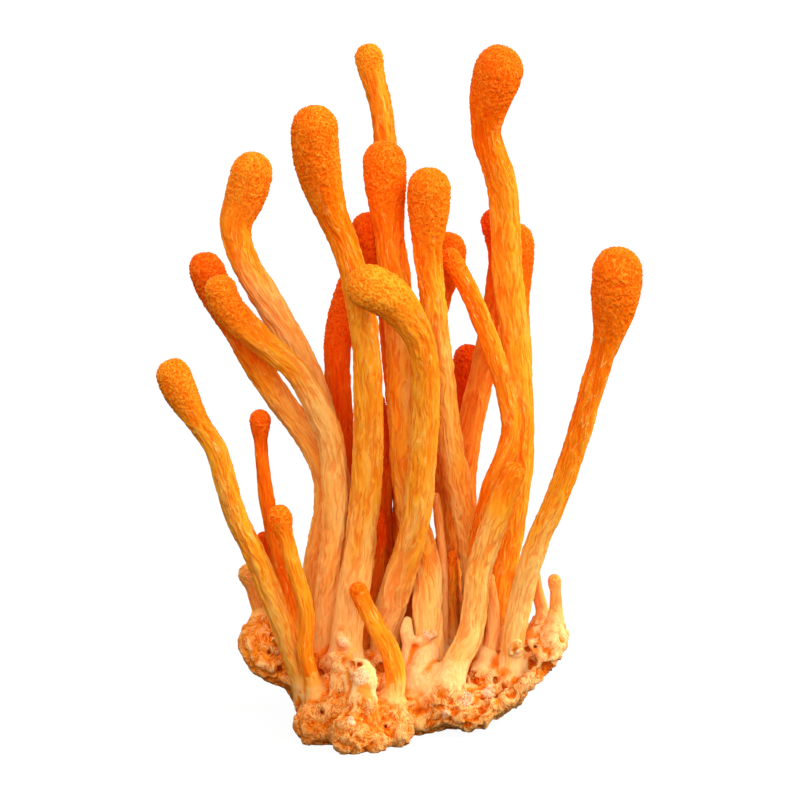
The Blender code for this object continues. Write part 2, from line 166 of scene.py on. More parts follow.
MAT = MatFinish((0.95, 0.5, 0.17), (0.9, 0.33, 0.065), (0.9, 0.235, 0.012),
                (0.75, 0.13, 0.005), (0.86, 0.76, 0.62), (0.97, 0.62, 0.36),
                (0.97, 0.6, 0.24), (0.94, 0.35, 0.035), (0.8, 0.36, 0.16),
                bleed=(1.0, 0.4, 0.15), bleed_depth=0.7, bump=0.7, bump_depth=0.16)


class Sheet:
    """Adds and wires the nodes of one shader or geometry tree."""

    def __init__(self, tree: Tree) -> None:
        """Take the tree to work on."""
        self.tree = tree

    def add(self, kind: str, inputs: dict | None = None, **settings: object) -> bpy.types.Node:
        """Add a node.

        Args:
            kind: Blender's name of the node type.
            inputs: Values or sockets by the node's input name or number.
            settings: Properties of the node.

        Returns:
            The node.
        """
        node = self.tree.nodes.new(kind)
        for name, value in settings.items():
            setattr(node, name, value)
        for name, value in (inputs or {}).items():
            self.plug(node.inputs[name], value)
        return node

    def plug(self, socket: Socket, value: object) -> None:
        """Link a socket to an input, or set the input's value.

        Args:
            socket: The input.
            value: A socket to link from, or a plain value.
        """
        if isinstance(value, Socket):
            self.tree.links.new(value, socket)
        else:
            socket.default_value = value

    def sum(self, operation: str, *values: object) -> Socket:
        """The result of one of Blender's operations on numbers or sockets."""
        return self.add("ShaderNodeMath", dict(enumerate(values)), operation=operation).outputs[0]

    def times(self, *values: object) -> Socket:
        """The product of some numbers."""
        return reduce(partial(self.sum, "MULTIPLY"), values)

    def plus(self, *values: object) -> Socket:
        """The sum of some numbers."""
        return reduce(partial(self.sum, "ADD"), values)

    def less(self, first: object, second: object) -> Socket:
        """The first number less the second."""
        return self.sum("SUBTRACT", first, second)

    def most(self, *values: object) -> Socket:
        """The largest of some numbers."""
        return reduce(partial(self.sum, "MAXIMUM"), values)

    def vector(self, operation: str, first: object, second: object) -> Socket:
        """Do arithmetic on vectors.

        Args:
            operation: Blender's name of the operation.
            first: A vector or its socket.
            second: A vector, or a number where the operation scales, or a socket of it.

        Returns:
            The result's socket.
        """
        second_input = "Scale" if operation == "SCALE" else 1
        return self.add("ShaderNodeVectorMath", {0: first, second_input: second},
                        operation=operation).outputs["Vector"]

    def noise(self, place: Socket, scale: float | tuple, detail: float = 2.0,
              roughness: float = 0.5, distortion: float = 0.0) -> Socket:
        """Noise from 0 to 1.

        Args:
            place: Where it is read.
            scale: Its fineness, or one for each axis.
            detail: Number of finer layers.
            roughness: Strength of the finer layers.
            distortion: How far it is stirred.

        Returns:
            The noise's socket.
        """
        if isinstance(scale, tuple):
            place, scale = self.vector("MULTIPLY", place, scale), 1.0
        return self.add("ShaderNodeTexNoise", {
            "Vector": place, "Scale": scale, "Detail": detail, "Roughness": roughness,
            "Distortion": distortion}).outputs[0]

    def wave(self, *pattern: object) -> Socket:
        """Noise from -0.5 to 0.5, with the same arguments."""
        return self.less(self.noise(*pattern), MIDDLE)

    def vein(self, *pattern: object) -> Socket:
        """Noise that is 0 along thin winding lines, with the same arguments."""
        return self.sum("ABSOLUTE", self.wave(*pattern))

    def stir(self, place: Socket, read: Socket, scale: float, detail: float, middle: float,
             amount: float) -> Socket:
        """Move a place about by noise.

        Args:
            place: The place.
            read: Where the noise is read.
            scale: The noise's fineness.
            detail: Number of finer layers.
            middle: The noise that moves nothing.
            amount: How far the place is moved.

        Returns:
            The moved place's socket.
        """
        noise = self.add("ShaderNodeTexNoise", {
            "Vector": read, "Scale": scale, "Detail": detail}).outputs["Color"]
        noise = self.vector("SUBTRACT", noise, (middle, middle, middle))
        return self.vector("ADD", place, self.vector("SCALE", noise, amount))

    def step(self, value: object, low: float, high: float, start: float = 0.0,
             end: float = 1.0) -> Socket:
        """A smooth change as a value passes from low to high.

        Args:
            value: The value or its socket.
            low: Where the change starts.
            high: Where it ends.
            start: The result below low.
            end: The result above high.

        Returns:
            The result's socket.
        """
        return self.add("ShaderNodeMapRange", {
            "Value": value, "From Min": low, "From Max": high, "To Min": start,
            "To Max": end}, interpolation_type="SMOOTHSTEP").outputs[0]

    def blend(self, factor: object, first: object, second: object) -> Socket:
        """Mix two numbers by the share of the second."""
        return self.add("ShaderNodeMix", {0: factor, 2: first, 3: second},
                        data_type="FLOAT").outputs[0]

    def tint(self, factor: object, first: object, second: object,
             kind: str = "MIX") -> Socket:
        """Mix two colours.

        Args:
            factor: Share of the second.
            first: A colour or socket.
            second: A colour or socket.
            kind: Blender's name of the way they mix.

        Returns:
            The mixed colour's socket.
        """
        first, second = ((*value, 1.0) if isinstance(value, tuple) else value
                         for value in (first, second))
        return self.add("ShaderNodeMix", {0: factor, 6: first, 7: second}, data_type="RGBA",
                        blend_type=kind).outputs[2]

    def mark(self, title: str, output: str = "Fac") -> Socket:
        """Read what a mesh has at each point, in a shader."""
        return self.add("ShaderNodeAttribute", attribute_name=title).outputs[output]

    def named(self, title: str, kind: str = "FLOAT") -> Socket:
        """Read what a geometry has at each point, in a geometry tree."""
        return self.add("GeometryNodeInputNamedAttribute", {"Name": title},
                        data_type=kind).outputs[0]

    def store(self, geometry: Socket, title: str, value: object, kind: str = "FLOAT") -> Socket:
        """Keep a value on the points.

        Args:
            geometry: The geometry.
            title: The attribute's name.
            value: Its value or socket.
            kind: Its data type.

        Returns:
            The geometry with the attribute.
        """
        return self.add("GeometryNodeStoreNamedAttribute", {
            "Geometry": geometry, "Name": title, "Value": value}, data_type=kind,
            domain="POINT").outputs[0]

    def raised(self, geometry: Socket, height: Socket) -> Socket:
        """Move the points along their normals.

        Args:
            geometry: The geometry.
            height: How far, in millimetres.

        Returns:
            The moved geometry.
        """
        normal = self.add("GeometryNodeInputNormal").outputs[0]
        return self.add("GeometryNodeSetPosition", {
            "Geometry": geometry,
            "Offset": self.vector("SCALE", normal, self.times(height, MM))}).outputs[0]

    def scattered(self, ground: Socket, density: Socket, seed: Socket) -> bpy.types.Node:
        """Scatter points on a mesh.

        Args:
            ground: The mesh.
            density: Points for each square metre.
            seed: The seed.

        Returns:
            The node that scatters them.
        """
        return self.add("GeometryNodeDistributePointsOnFaces", {
            "Mesh": ground, "Density": density, "Seed": seed})

    def planted(self, points: bpy.types.Node, shape: Socket, turn: Socket,
                size: Socket) -> Socket:
        """Put a shape on each scattered point.

        Args:
            points: The node that scatters the points.
            shape: The shape.
            turn: Its rotation.
            size: Its scale.

        Returns:
            The shapes as one mesh.
        """
        placed = self.add("GeometryNodeInstanceOnPoints", {
            "Points": points.outputs["Points"], "Instance": shape, "Rotation": turn,
            "Scale": size}).outputs[0]
        return self.add("GeometryNodeRealizeInstances", {0: placed}).outputs[0]

    def joined(self, *geometries: Socket) -> Socket:
        """Join geometries.

        Args:
            geometries: The geometries.

        Returns:
            The joined geometry.
        """
        join = self.add("GeometryNodeJoinGeometry")
        for geometry in geometries:
            self.plug(join.inputs[0], geometry)
        return join.outputs[0]

    def dressed(self, geometry: Socket, finish: Socket) -> Socket:
        """Shade a geometry smooth, make its instances real and give it its material.

        Args:
            geometry: The geometry.
            finish: The material.

        Returns:
            The finished geometry.
        """
        smooth = self.add("GeometryNodeSetShadeSmooth", {0: geometry}).outputs[0]
        real = self.add("GeometryNodeRealizeInstances", {0: smooth}).outputs[0]
        return self.add("GeometryNodeSetMaterial",
                        {"Geometry": real, "Material": finish}).outputs[0]


def new_tree(name: str, kind: str, inputs: dict[str, tuple[str, object]],
             outputs: dict[str, str]) -> tuple[Sheet, object, object]:
    """Start a node group with named sockets.

    Args:
        name: The group's name.
        kind: Blender's name of the tree type.
        inputs: Socket type and default value by input name.
        outputs: Socket type by output name.

    Returns:
        The sheet to work on, what is given to the group and what it results in, by name.
    """
    tree = bpy.data.node_groups.new(name, kind)
    for title, (socket, default) in inputs.items():
        item = tree.interface.new_socket(name=title, in_out="INPUT", socket_type=socket)
        if default is not None:
            item.default_value = default
    for title, socket in outputs.items():
        tree.interface.new_socket(name=title, in_out="OUTPUT", socket_type=socket)
    given, result = tree.nodes.new("NodeGroupInput"), tree.nodes.new("NodeGroupOutput")
    return Sheet(tree), given.outputs, result.inputs


def set_tree(item: Item, tree: Tree,
             values: dict[str, object]) -> None:
    """Put a geometry tree on an object and set its inputs.

    Args:
        item: The object.
        tree: The tree.
        values: The inputs' values by name.
    """
    modifier = item.modifiers.new(tree.name, "NODES")
    modifier.node_group = tree
    for socket in tree.interface.items_tree:
        if socket.item_type == "SOCKET" and socket.name in values:
            modifier[socket.identifier] = values[socket.name]


def made_plain(item: Item) -> Item:
    """Replace an object's mesh by what its modifiers make, and take them off.

    Args:
        item: The object.

    Returns:
        The same object.
    """
    bpy.context.view_layer.update()
    graph = bpy.context.evaluated_depsgraph_get()
    made = bpy.data.meshes.new_from_object(item.evaluated_get(graph))
    item.modifiers.clear()
    old = item.data
    item.data = made
    bpy.data.meshes.remove(old)
    outward(made)
    return item


def outward(mesh: bpy.types.Mesh) -> None:
    """Turn a closed mesh's faces outwards where it is inside out.

    Args:
        mesh: The mesh.
    """
    work = bmesh.new()
    work.from_mesh(mesh)
    if work.calc_volume(signed=True) < 0:
        bmesh.ops.reverse_faces(work, faces=work.faces)
        work.to_mesh(mesh)
    work.free()


def mark_points(mesh: bpy.types.Mesh, title: str, values: object) -> None:
    """Keep a number on each point of a mesh.

    Args:
        mesh: The mesh.
        title: The attribute's name.
        values: The numbers.
    """
    layer = mesh.attributes.new(title, "FLOAT", "POINT")
    layer.data.foreach_set("value", np.asarray(values, dtype=np.float32))


def new_piece(name: str, points: np.ndarray, edges: list, faces: list,
              marks: dict[str, object]) -> Item:
    """Make the object of a piece.

    Args:
        name: The name of the node that it replaces.
        points: The mesh's points in millimetres.
        edges: Its loose edges.
        faces: Its faces.
        marks: Numbers for each point by the attribute's name.

    Returns:
        The object.
    """
    mesh = bpy.data.meshes.new(name + "_skin")
    mesh.from_pydata((points * MM).tolist(), edges, faces)
    for title, values in marks.items():
        mark_points(mesh, title, values)
    item = bpy.data.objects.new(name + "_skin", mesh)
    bpy.context.scene.collection.objects.link(item)
    return item


def from_front_view(point: tuple[float, float, float]) -> np.ndarray:
    """World millimetres of a point given in the tilted front view.

    Args:
        point: Across, up and depth.

    Returns:
        X, Y and Z.
    """
    across, up, depth = point
    height = (up - depth * math.sin(VIEW_TILT)) / math.cos(VIEW_TILT)
    return np.array((across, depth - FRONT_TO_ORIGIN, height))


def smoothstep(value: float) -> float:
    """Smooth change from 0 to 1."""
    value = min(max(value, 0.0), 1.0)
    return value * value * (3 - 2 * value)


@dataclass(frozen=True)
class Club:
    """One fruiting body: its radii, its route from root to tip, and its skin.

    A route point is (across, up, depth) in millimetres in the tilted front view. The
    fade is how far up from the root the pale foot reaches, and the pallor is how pale the
    stem stays above it, from 0 for ripe orange to 1 for cream. The head has its own pallor,
    which is below 0 where the head is deeper in colour than ripe orange. The blush is how
    much of the club's orange runs down into the mat. The grain of the head, the wrinkles
    of the stem and the spread of the foot are 1 for the usual club.
    """

    name: str
    head: float
    head_length: float
    neck: float
    stem: float
    foot: float
    tone: Tone
    route: tuple
    fade: float = 20.0
    pallor: float = 0.4
    head_pallor: float = -0.3
    blush: float = 0.1
    grain: float = 1.0
    wrinkle: float = 1.0
    spread: float = 1.0

    def curve(self) -> np.ndarray:
        """Draw the route as a fine smooth line.

        Returns:
            The line's points in world millimetres.
        """
        points = [from_front_view(point) for point in self.route]
        ends = [points[0] * 2 - points[1], *points, points[-1] * 2 - points[-2]]
        line = []
        for before, start, end, after in zip(ends, ends[1:], ends[2:], ends[3:]):
            for step in range(STEPS_PER_SPAN):
                t = step / STEPS_PER_SPAN
                line.append(0.5 * (
                    2 * start + (end - before) * t
                    + (2 * before - 5 * start + 4 * end - after) * t ** 2
                    + (3 * start - before - 3 * end + after) * t ** 3))
        line.append(points[-1])
        return np.array(line)

    def radius(self, from_root: float, total: float) -> float:
        """Radius at a distance from the root.

        Args:
            from_root: The distance.
            total: The club's whole length.

        Returns:
            The radius in millimetres.
        """
        from_tip = total - from_root
        cap = self.head * CAP_REACH
        if from_tip < cap:
            return self.head * math.sqrt(max(0.0, 1 - (1 - from_tip / cap) ** 2))
        hold = max(cap, self.head_length * HEAD_HOLD)
        if from_tip < self.head_length:
            taper = smoothstep((from_tip - hold) / (self.head_length - hold))
            return self.head + (self.neck - self.head) * taper
        along = (from_tip - self.head_length) / (total - self.head_length)
        radius = self.neck + (self.stem - self.neck) * along
        return radius + (self.foot - self.stem) * smoothstep(1 - from_root / FOOT_LENGTH)

    def spine(self) -> tuple[np.ndarray, np.ndarray, np.ndarray, float]:
        """The places of the rings.

        Returns:
            Their centres, radii and distances from the root, and the whole length.
        """
        line = self.curve()
        lengths = np.concatenate(
            ([0.0], np.cumsum(np.linalg.norm(np.diff(line, axis=0), axis=1))))
        total = float(lengths[-1])
        shoulder = total - self.head * CAP_REACH
        neck = max(total - self.head_length, total * SHORTEST_STEM)
        stem = np.linspace(0.0, neck, round(neck / STEM_STEP), endpoint=False)
        head = np.linspace(neck, shoulder, round((shoulder - neck) / HEAD_STEP))
        turns = np.linspace(0.0, CAP_TURN, CAP_STEPS + 1)[1:]
        tip = total - self.head * CAP_REACH * (1 - np.sin(turns))
        distances = np.concatenate((stem, head, tip))
        centres = np.column_stack(
            [np.interp(distances, lengths, line[:, axis]) for axis in range(3)])
        radii = np.array([self.radius(distance, total) for distance in distances])
        return centres, radii, distances, total

    def masks(self, distances: np.ndarray, total: float) -> tuple[list[float], list[float]]:
        """How much head and how pale each ring is.

        Args:
            distances: The rings' distances from the root.
            total: The club's whole length.

        Returns:
            The share of head and the pallor of each ring.
        """
        headness, pallor = [], []
        for distance in distances:
            from_tip = total - distance
            headness.append(min(self.grain, 1.0) * (1 - smoothstep(
                (from_tip - self.head_length * GRAIN_HOLD) / (self.head_length * GRAIN_FADE))))
            foot = 1 - smoothstep((distance - self.fade * FOOT_HOLD) / (self.fade * FOOT_FADE))
            ripe = smoothstep(
                (from_tip - self.head_length * RIPE_HOLD) / (self.head_length * RIPE_FADE))
            shaft = self.head_pallor + (self.pallor - self.head_pallor) * ripe
            pallor.append(foot + (1 - foot) * shaft)
        return headness, pallor

    def build(self, skin: "ClubSkin") -> Item:
        """Make the club's mesh.

        Args:
            skin: The tree that puts the skin round the spine.

        Returns:
            The club's object.
        """
        centres, radii, distances, total = self.spine()
        headness, pallor = self.masks(distances, total)
        links = [(index, index + 1) for index in range(len(centres) - 1)]
        item = new_piece(self.name, centres, links, [], {
            "thickness": radii, "from_root": distances, "headness": headness,
            "pallor": pallor})
        return skin.wrap(item, self)

    def dress(self, item: Item) -> None:
        """Tie the finished piece to the model.

        Args:
            item: The club's object.
        """
        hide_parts(self.name)
        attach(item, "root")


class Weave:
    """The pattern of a club's skin, the same in its shape and in its colours.

    A stretch is the pattern's fineness for each millimetre, twice across and once along.
    A layer of ridges is its stretch, their width, the height that counts as 0 and its share.
    """

    WANDER, WANDER_STRETCH = (0.45, 1.0, MIDDLE, 1.5), (1.0, 1.0, 0.5)
    FOLDS, FOLDS_SHARE = (0.85, 0.85, 0.13), 2.6
    WRINKLES = ((1.5, 1.5, 0.17), 0.12, 0.45, 0.75)
    CREASES = ((3.0, 3.0, 0.45), 0.14, 0.5, 0.5)
    WORMS = ((2.0, 2.0, 1.6), 0.11, 0.42, 1.2)
    GRAINS = ((3.7, 3.7, 3.0), 0.12, 0.45, 0.8)
    PIT_SCALE, PIT_EDGE, PIT_SHARE = 0.75, (0.2, 0.08), 1.3
    BREAKS, BREAK_WIDTH = (0.6, 0.6, 0.2), 0.12

    def __init__(self, sheet: Sheet, place: Socket) -> None:
        """Lay out the pattern.

        Args:
            sheet: The sheet to work on.
            place: The place on the club as if it were straight, in millimetres.
        """
        self.sheet = sheet
        read = sheet.vector("MULTIPLY", place, self.WANDER_STRETCH)
        self.place = sheet.stir(place, read, *self.WANDER)

    def ridges(self, stretch: tuple[float, float, float], width: float, level: float,
               share: float) -> Socket:
        """Winding ridges.

        Args:
            stretch: Ridges for each millimetre across and along.
            width: How wide they are, from 0 to 0.5.
            level: The height that counts as 0.
            share: How much they count.

        Returns:
            Their height's socket.
        """
        sheet = self.sheet
        ridges = sheet.step(sheet.vein(self.place, stretch, 1.0), width, 0.0)
        return sheet.times(sheet.less(ridges, level), share)

    def threads(self, across: float, along: float, width: float, bare: float) -> Socket:
        """Thin broken lines that run along the stem.

        Args:
            across: Lines for each millimetre round the stem.
            along: Bends of a line for each millimetre.
            width: How wide a line is, from 0 to 0.5.
            bare: Share of the stem with no line.

        Returns:
            The socket of their strength.
        """
        sheet = self.sheet
        line = sheet.step(sheet.vein(self.place, (across, across, along), 1.0, 0.4), width, 0.0)
        breaks = sheet.noise(sheet.vector("MULTIPLY", self.place, self.BREAKS), across, 0.0)
        return sheet.times(line, sheet.step(breaks, bare, bare + self.BREAK_WIDTH))

    def stem(self) -> Socket:
        """Lengthwise wrinkles.

        Returns:
            The socket of their height, about -1 in the furrows and 1 on the folds.
        """
        sheet = self.sheet
        folds = sheet.times(sheet.wave(self.place, self.FOLDS, 1.0), self.FOLDS_SHARE)
        return sheet.plus(folds, sheet.plus(self.ridges(*self.WRINKLES),
                                            self.ridges(*self.CREASES)))

    def head(self) -> Socket:
        """Worm-like grains with small pits.

        Returns:
            The socket of their height, about -1 between them and 1 on top.
        """
        sheet = self.sheet
        cells = sheet.add("ShaderNodeTexVoronoi", {
            "Vector": self.place, "Scale": self.PIT_SCALE}, feature="F1")
        pits = sheet.times(sheet.step(cells.outputs["Distance"], *self.PIT_EDGE), self.PIT_SHARE)
        return sheet.less(sheet.plus(self.ridges(*self.WORMS), self.ridges(*self.GRAINS)), pits)


class ClubSkin:
    """The tree that wraps a club's spine in its wrinkled and grainy skin."""

    INPUTS = {
        "Spine": ("NodeSocketGeometry", None),
        "Sides": ("NodeSocketInt", 64),
        "Seed": ("NodeSocketFloat", 0.0),
        "Wrinkle depth": ("NodeSocketFloat", 0.09),
        "Grain depth": ("NodeSocketFloat", 0.09),
        "Sway": ("NodeSocketFloat", 0.16),
        "Flakes": ("NodeSocketFloat", 0.5),
        "Flake seed": ("NodeSocketInt", 0),
        "Finish": ("NodeSocketMaterial", None),
    }
    FULL_STEM = 1.3  # radius from which a stem has its full relief
    SEED_STEP = 17.0  # between the patterns of two clubs
    SEED_TURNS = (1.7, -2.3)  # how the seed moves the pattern in its other two directions
    CALM_FOOT = (2.0, 9.0, 0.35, 1.0)  # wrinkles grow from weak to full between these
    THIN_RELIEF = (0.1, 1.3)  # the relief grows with the thickness between these
    SWAY, THIN_SWAY = (0.28, 0.28, 0.1), (0.0, 1.6)
    BARE_HEAD = (0.25, 0.7, 1.0, 0.15)  # a head has few flakes
    FLAKE_PATCHES, FLAKE_EDGE = (0.3, 1.0), (0.45, 0.62)
    FLAKE_SIZES = ((0.18, 0.04, 0.03), (0.5, 0.09, 0.07))
    # The share of painted highlight, the paler colour of the ridges, that the flakes get
    FLAKE_TINT = 0.5
    WRINKLE, GRAIN, SWAYING, FLAKINESS = 0.15, 0.12, 0.5, 0.16  # what the usual club has
    HEAD_SHARE = 0.8  # share of the head's radius that its number of sides follows

    def __init__(self) -> None:
        """Build the tree.

        The spine becomes a tube, the tube gets its relief, and flakes are scattered on it.
        """
        self.sheet, self.given, result = new_tree(
            "club_skin", "GeometryNodeTree", self.INPUTS, {"Club": "NodeSocketGeometry"})
        skin = self.relief(self.tube())
        whole = self.sheet.joined(skin, self.flakes(skin))
        self.sheet.plug(result["Club"], self.sheet.dressed(whole, self.given["Finish"]))

    def tube(self) -> Socket:
        """Put rings round the spine.

        Returns:
            The bare tube. Its grain is the place on it as if the club were straight.
        """
        sheet, given = self.sheet, self.given
        line = sheet.add("GeometryNodeMeshToCurve", {0: given["Spine"]}).outputs[0]
        line = sheet.store(line, "run", sheet.add("GeometryNodeInputTangent").outputs[0],
                           "FLOAT_VECTOR")
        ring = sheet.add("GeometryNodeCurvePrimitiveCircle", {
            "Resolution": given["Sides"], "Radius": 1.0}).outputs[0]
        ring = sheet.store(ring, "turn",
                           sheet.add("GeometryNodeSplineParameter").outputs["Factor"])
        thickness = sheet.named("thickness")
        tube = sheet.add("GeometryNodeCurveToMesh", {
            "Curve": line, "Profile Curve": ring, "Scale": sheet.times(thickness, MM),
            "Fill Caps": True}).outputs[0]
        angle = sheet.times(sheet.named("turn"), 2 * math.pi)
        place = sheet.add("ShaderNodeCombineXYZ", {
            "X": sheet.times(sheet.sum("COSINE", angle), thickness),
            "Y": sheet.times(sheet.sum("SINE", angle), thickness),
            "Z": sheet.named("from_root")}).outputs[0]
        seed = given["Seed"]
        second, third = (sheet.times(seed, turn) for turn in self.SEED_TURNS)
        shift = sheet.add("ShaderNodeCombineXYZ", {0: seed, 1: second, 2: third}).outputs[0]
        return sheet.store(tube, "grain", sheet.vector("ADD", place, shift), "FLOAT_VECTOR")

    def relief(self, skin: Socket) -> Socket:
        """Raise wrinkles on the stem and grains on the head.

        Args:
            skin: The bare tube.

        Returns:
            The tube with its relief.
        """
        sheet, given = self.sheet, self.given
        place, thickness = sheet.named("grain", "FLOAT_VECTOR"), sheet.named("thickness")
        weave = Weave(sheet, place)
        calm = sheet.step(sheet.named("from_root"), *self.CALM_FOOT)
        stem = sheet.times(weave.stem(), calm, given["Wrinkle depth"])
        head = sheet.times(weave.head(), given["Grain depth"])
        height = sheet.times(sheet.blend(sheet.named("headness"), stem, head),
                             sheet.step(thickness, *self.THIN_RELIEF))
        sway = sheet.times(sheet.wave(place, self.SWAY, 1.0), given["Sway"],
                           sheet.step(thickness, *self.THIN_SWAY))
        return sheet.raised(skin, sheet.plus(height, sway))

    def flakes(self, skin: Socket) -> Socket:
        """Scatter small lifted flakes of skin along the stem.

        Args:
            skin: The finished tube.

        Returns:
            The flakes.
        """
        sheet, given = self.sheet, self.given
        bare = sheet.step(sheet.named("headness"), *self.BARE_HEAD)
        patches = sheet.noise(sheet.named("grain", "FLOAT_VECTOR"), *self.FLAKE_PATCHES)
        density = sheet.times(bare, sheet.step(patches, *self.FLAKE_EDGE))
        density = sheet.times(density, sheet.sum("DIVIDE", given["Flakes"], MM * MM))
        spread = sheet.scattered(skin, density, given["Flake seed"])
        turned = sheet.add("FunctionNodeAxesToRotation", {
            0: spread.outputs["Normal"], 1: sheet.named("run", "FLOAT_VECTOR")},
            primary_axis="Z", secondary_axis="X")
        least, largest = self.FLAKE_SIZES
        size = sheet.add("FunctionNodeRandomValue", {"Min": least, "Max": largest},
                         data_type="FLOAT_VECTOR").outputs[0]
        flake = sheet.add("GeometryNodeMeshIcoSphere", {"Radius": MM, "Subdivisions": 1})
        real = sheet.planted(spread, flake.outputs["Mesh"], turned.outputs[0], size)
        return sheet.store(real, "flake", self.FLAKE_TINT)

    def wrap(self, item: Item, club: Club) -> Item:
        """Turn a spine into its club.

        Args:
            item: The object that holds the spine.
            club: The club's sizes.

        Returns:
            The same object with the plain mesh of the club.
        """
        number = CLUB_ORDER[club.name]
        thin = min(1.0, club.stem / self.FULL_STEM)
        around = math.pi * max(club.stem, club.head * self.HEAD_SHARE)
        set_tree(item, self.sheet.tree, {
            "Sides": max(FEWEST_SIDES, 2 * round(around / SIDE_STEP)),
            "Seed": self.SEED_STEP * (number + 1),
            "Wrinkle depth": self.WRINKLE * club.wrinkle * thin,
            "Grain depth": self.GRAIN * club.grain * thin,
            "Sway": self.SWAYING * thin,
            "Flakes": self.FLAKINESS * club.wrinkle,
            "Flake seed": number,
            "Finish": FINISHES[club.tone],
        })
        return made_plain(item)


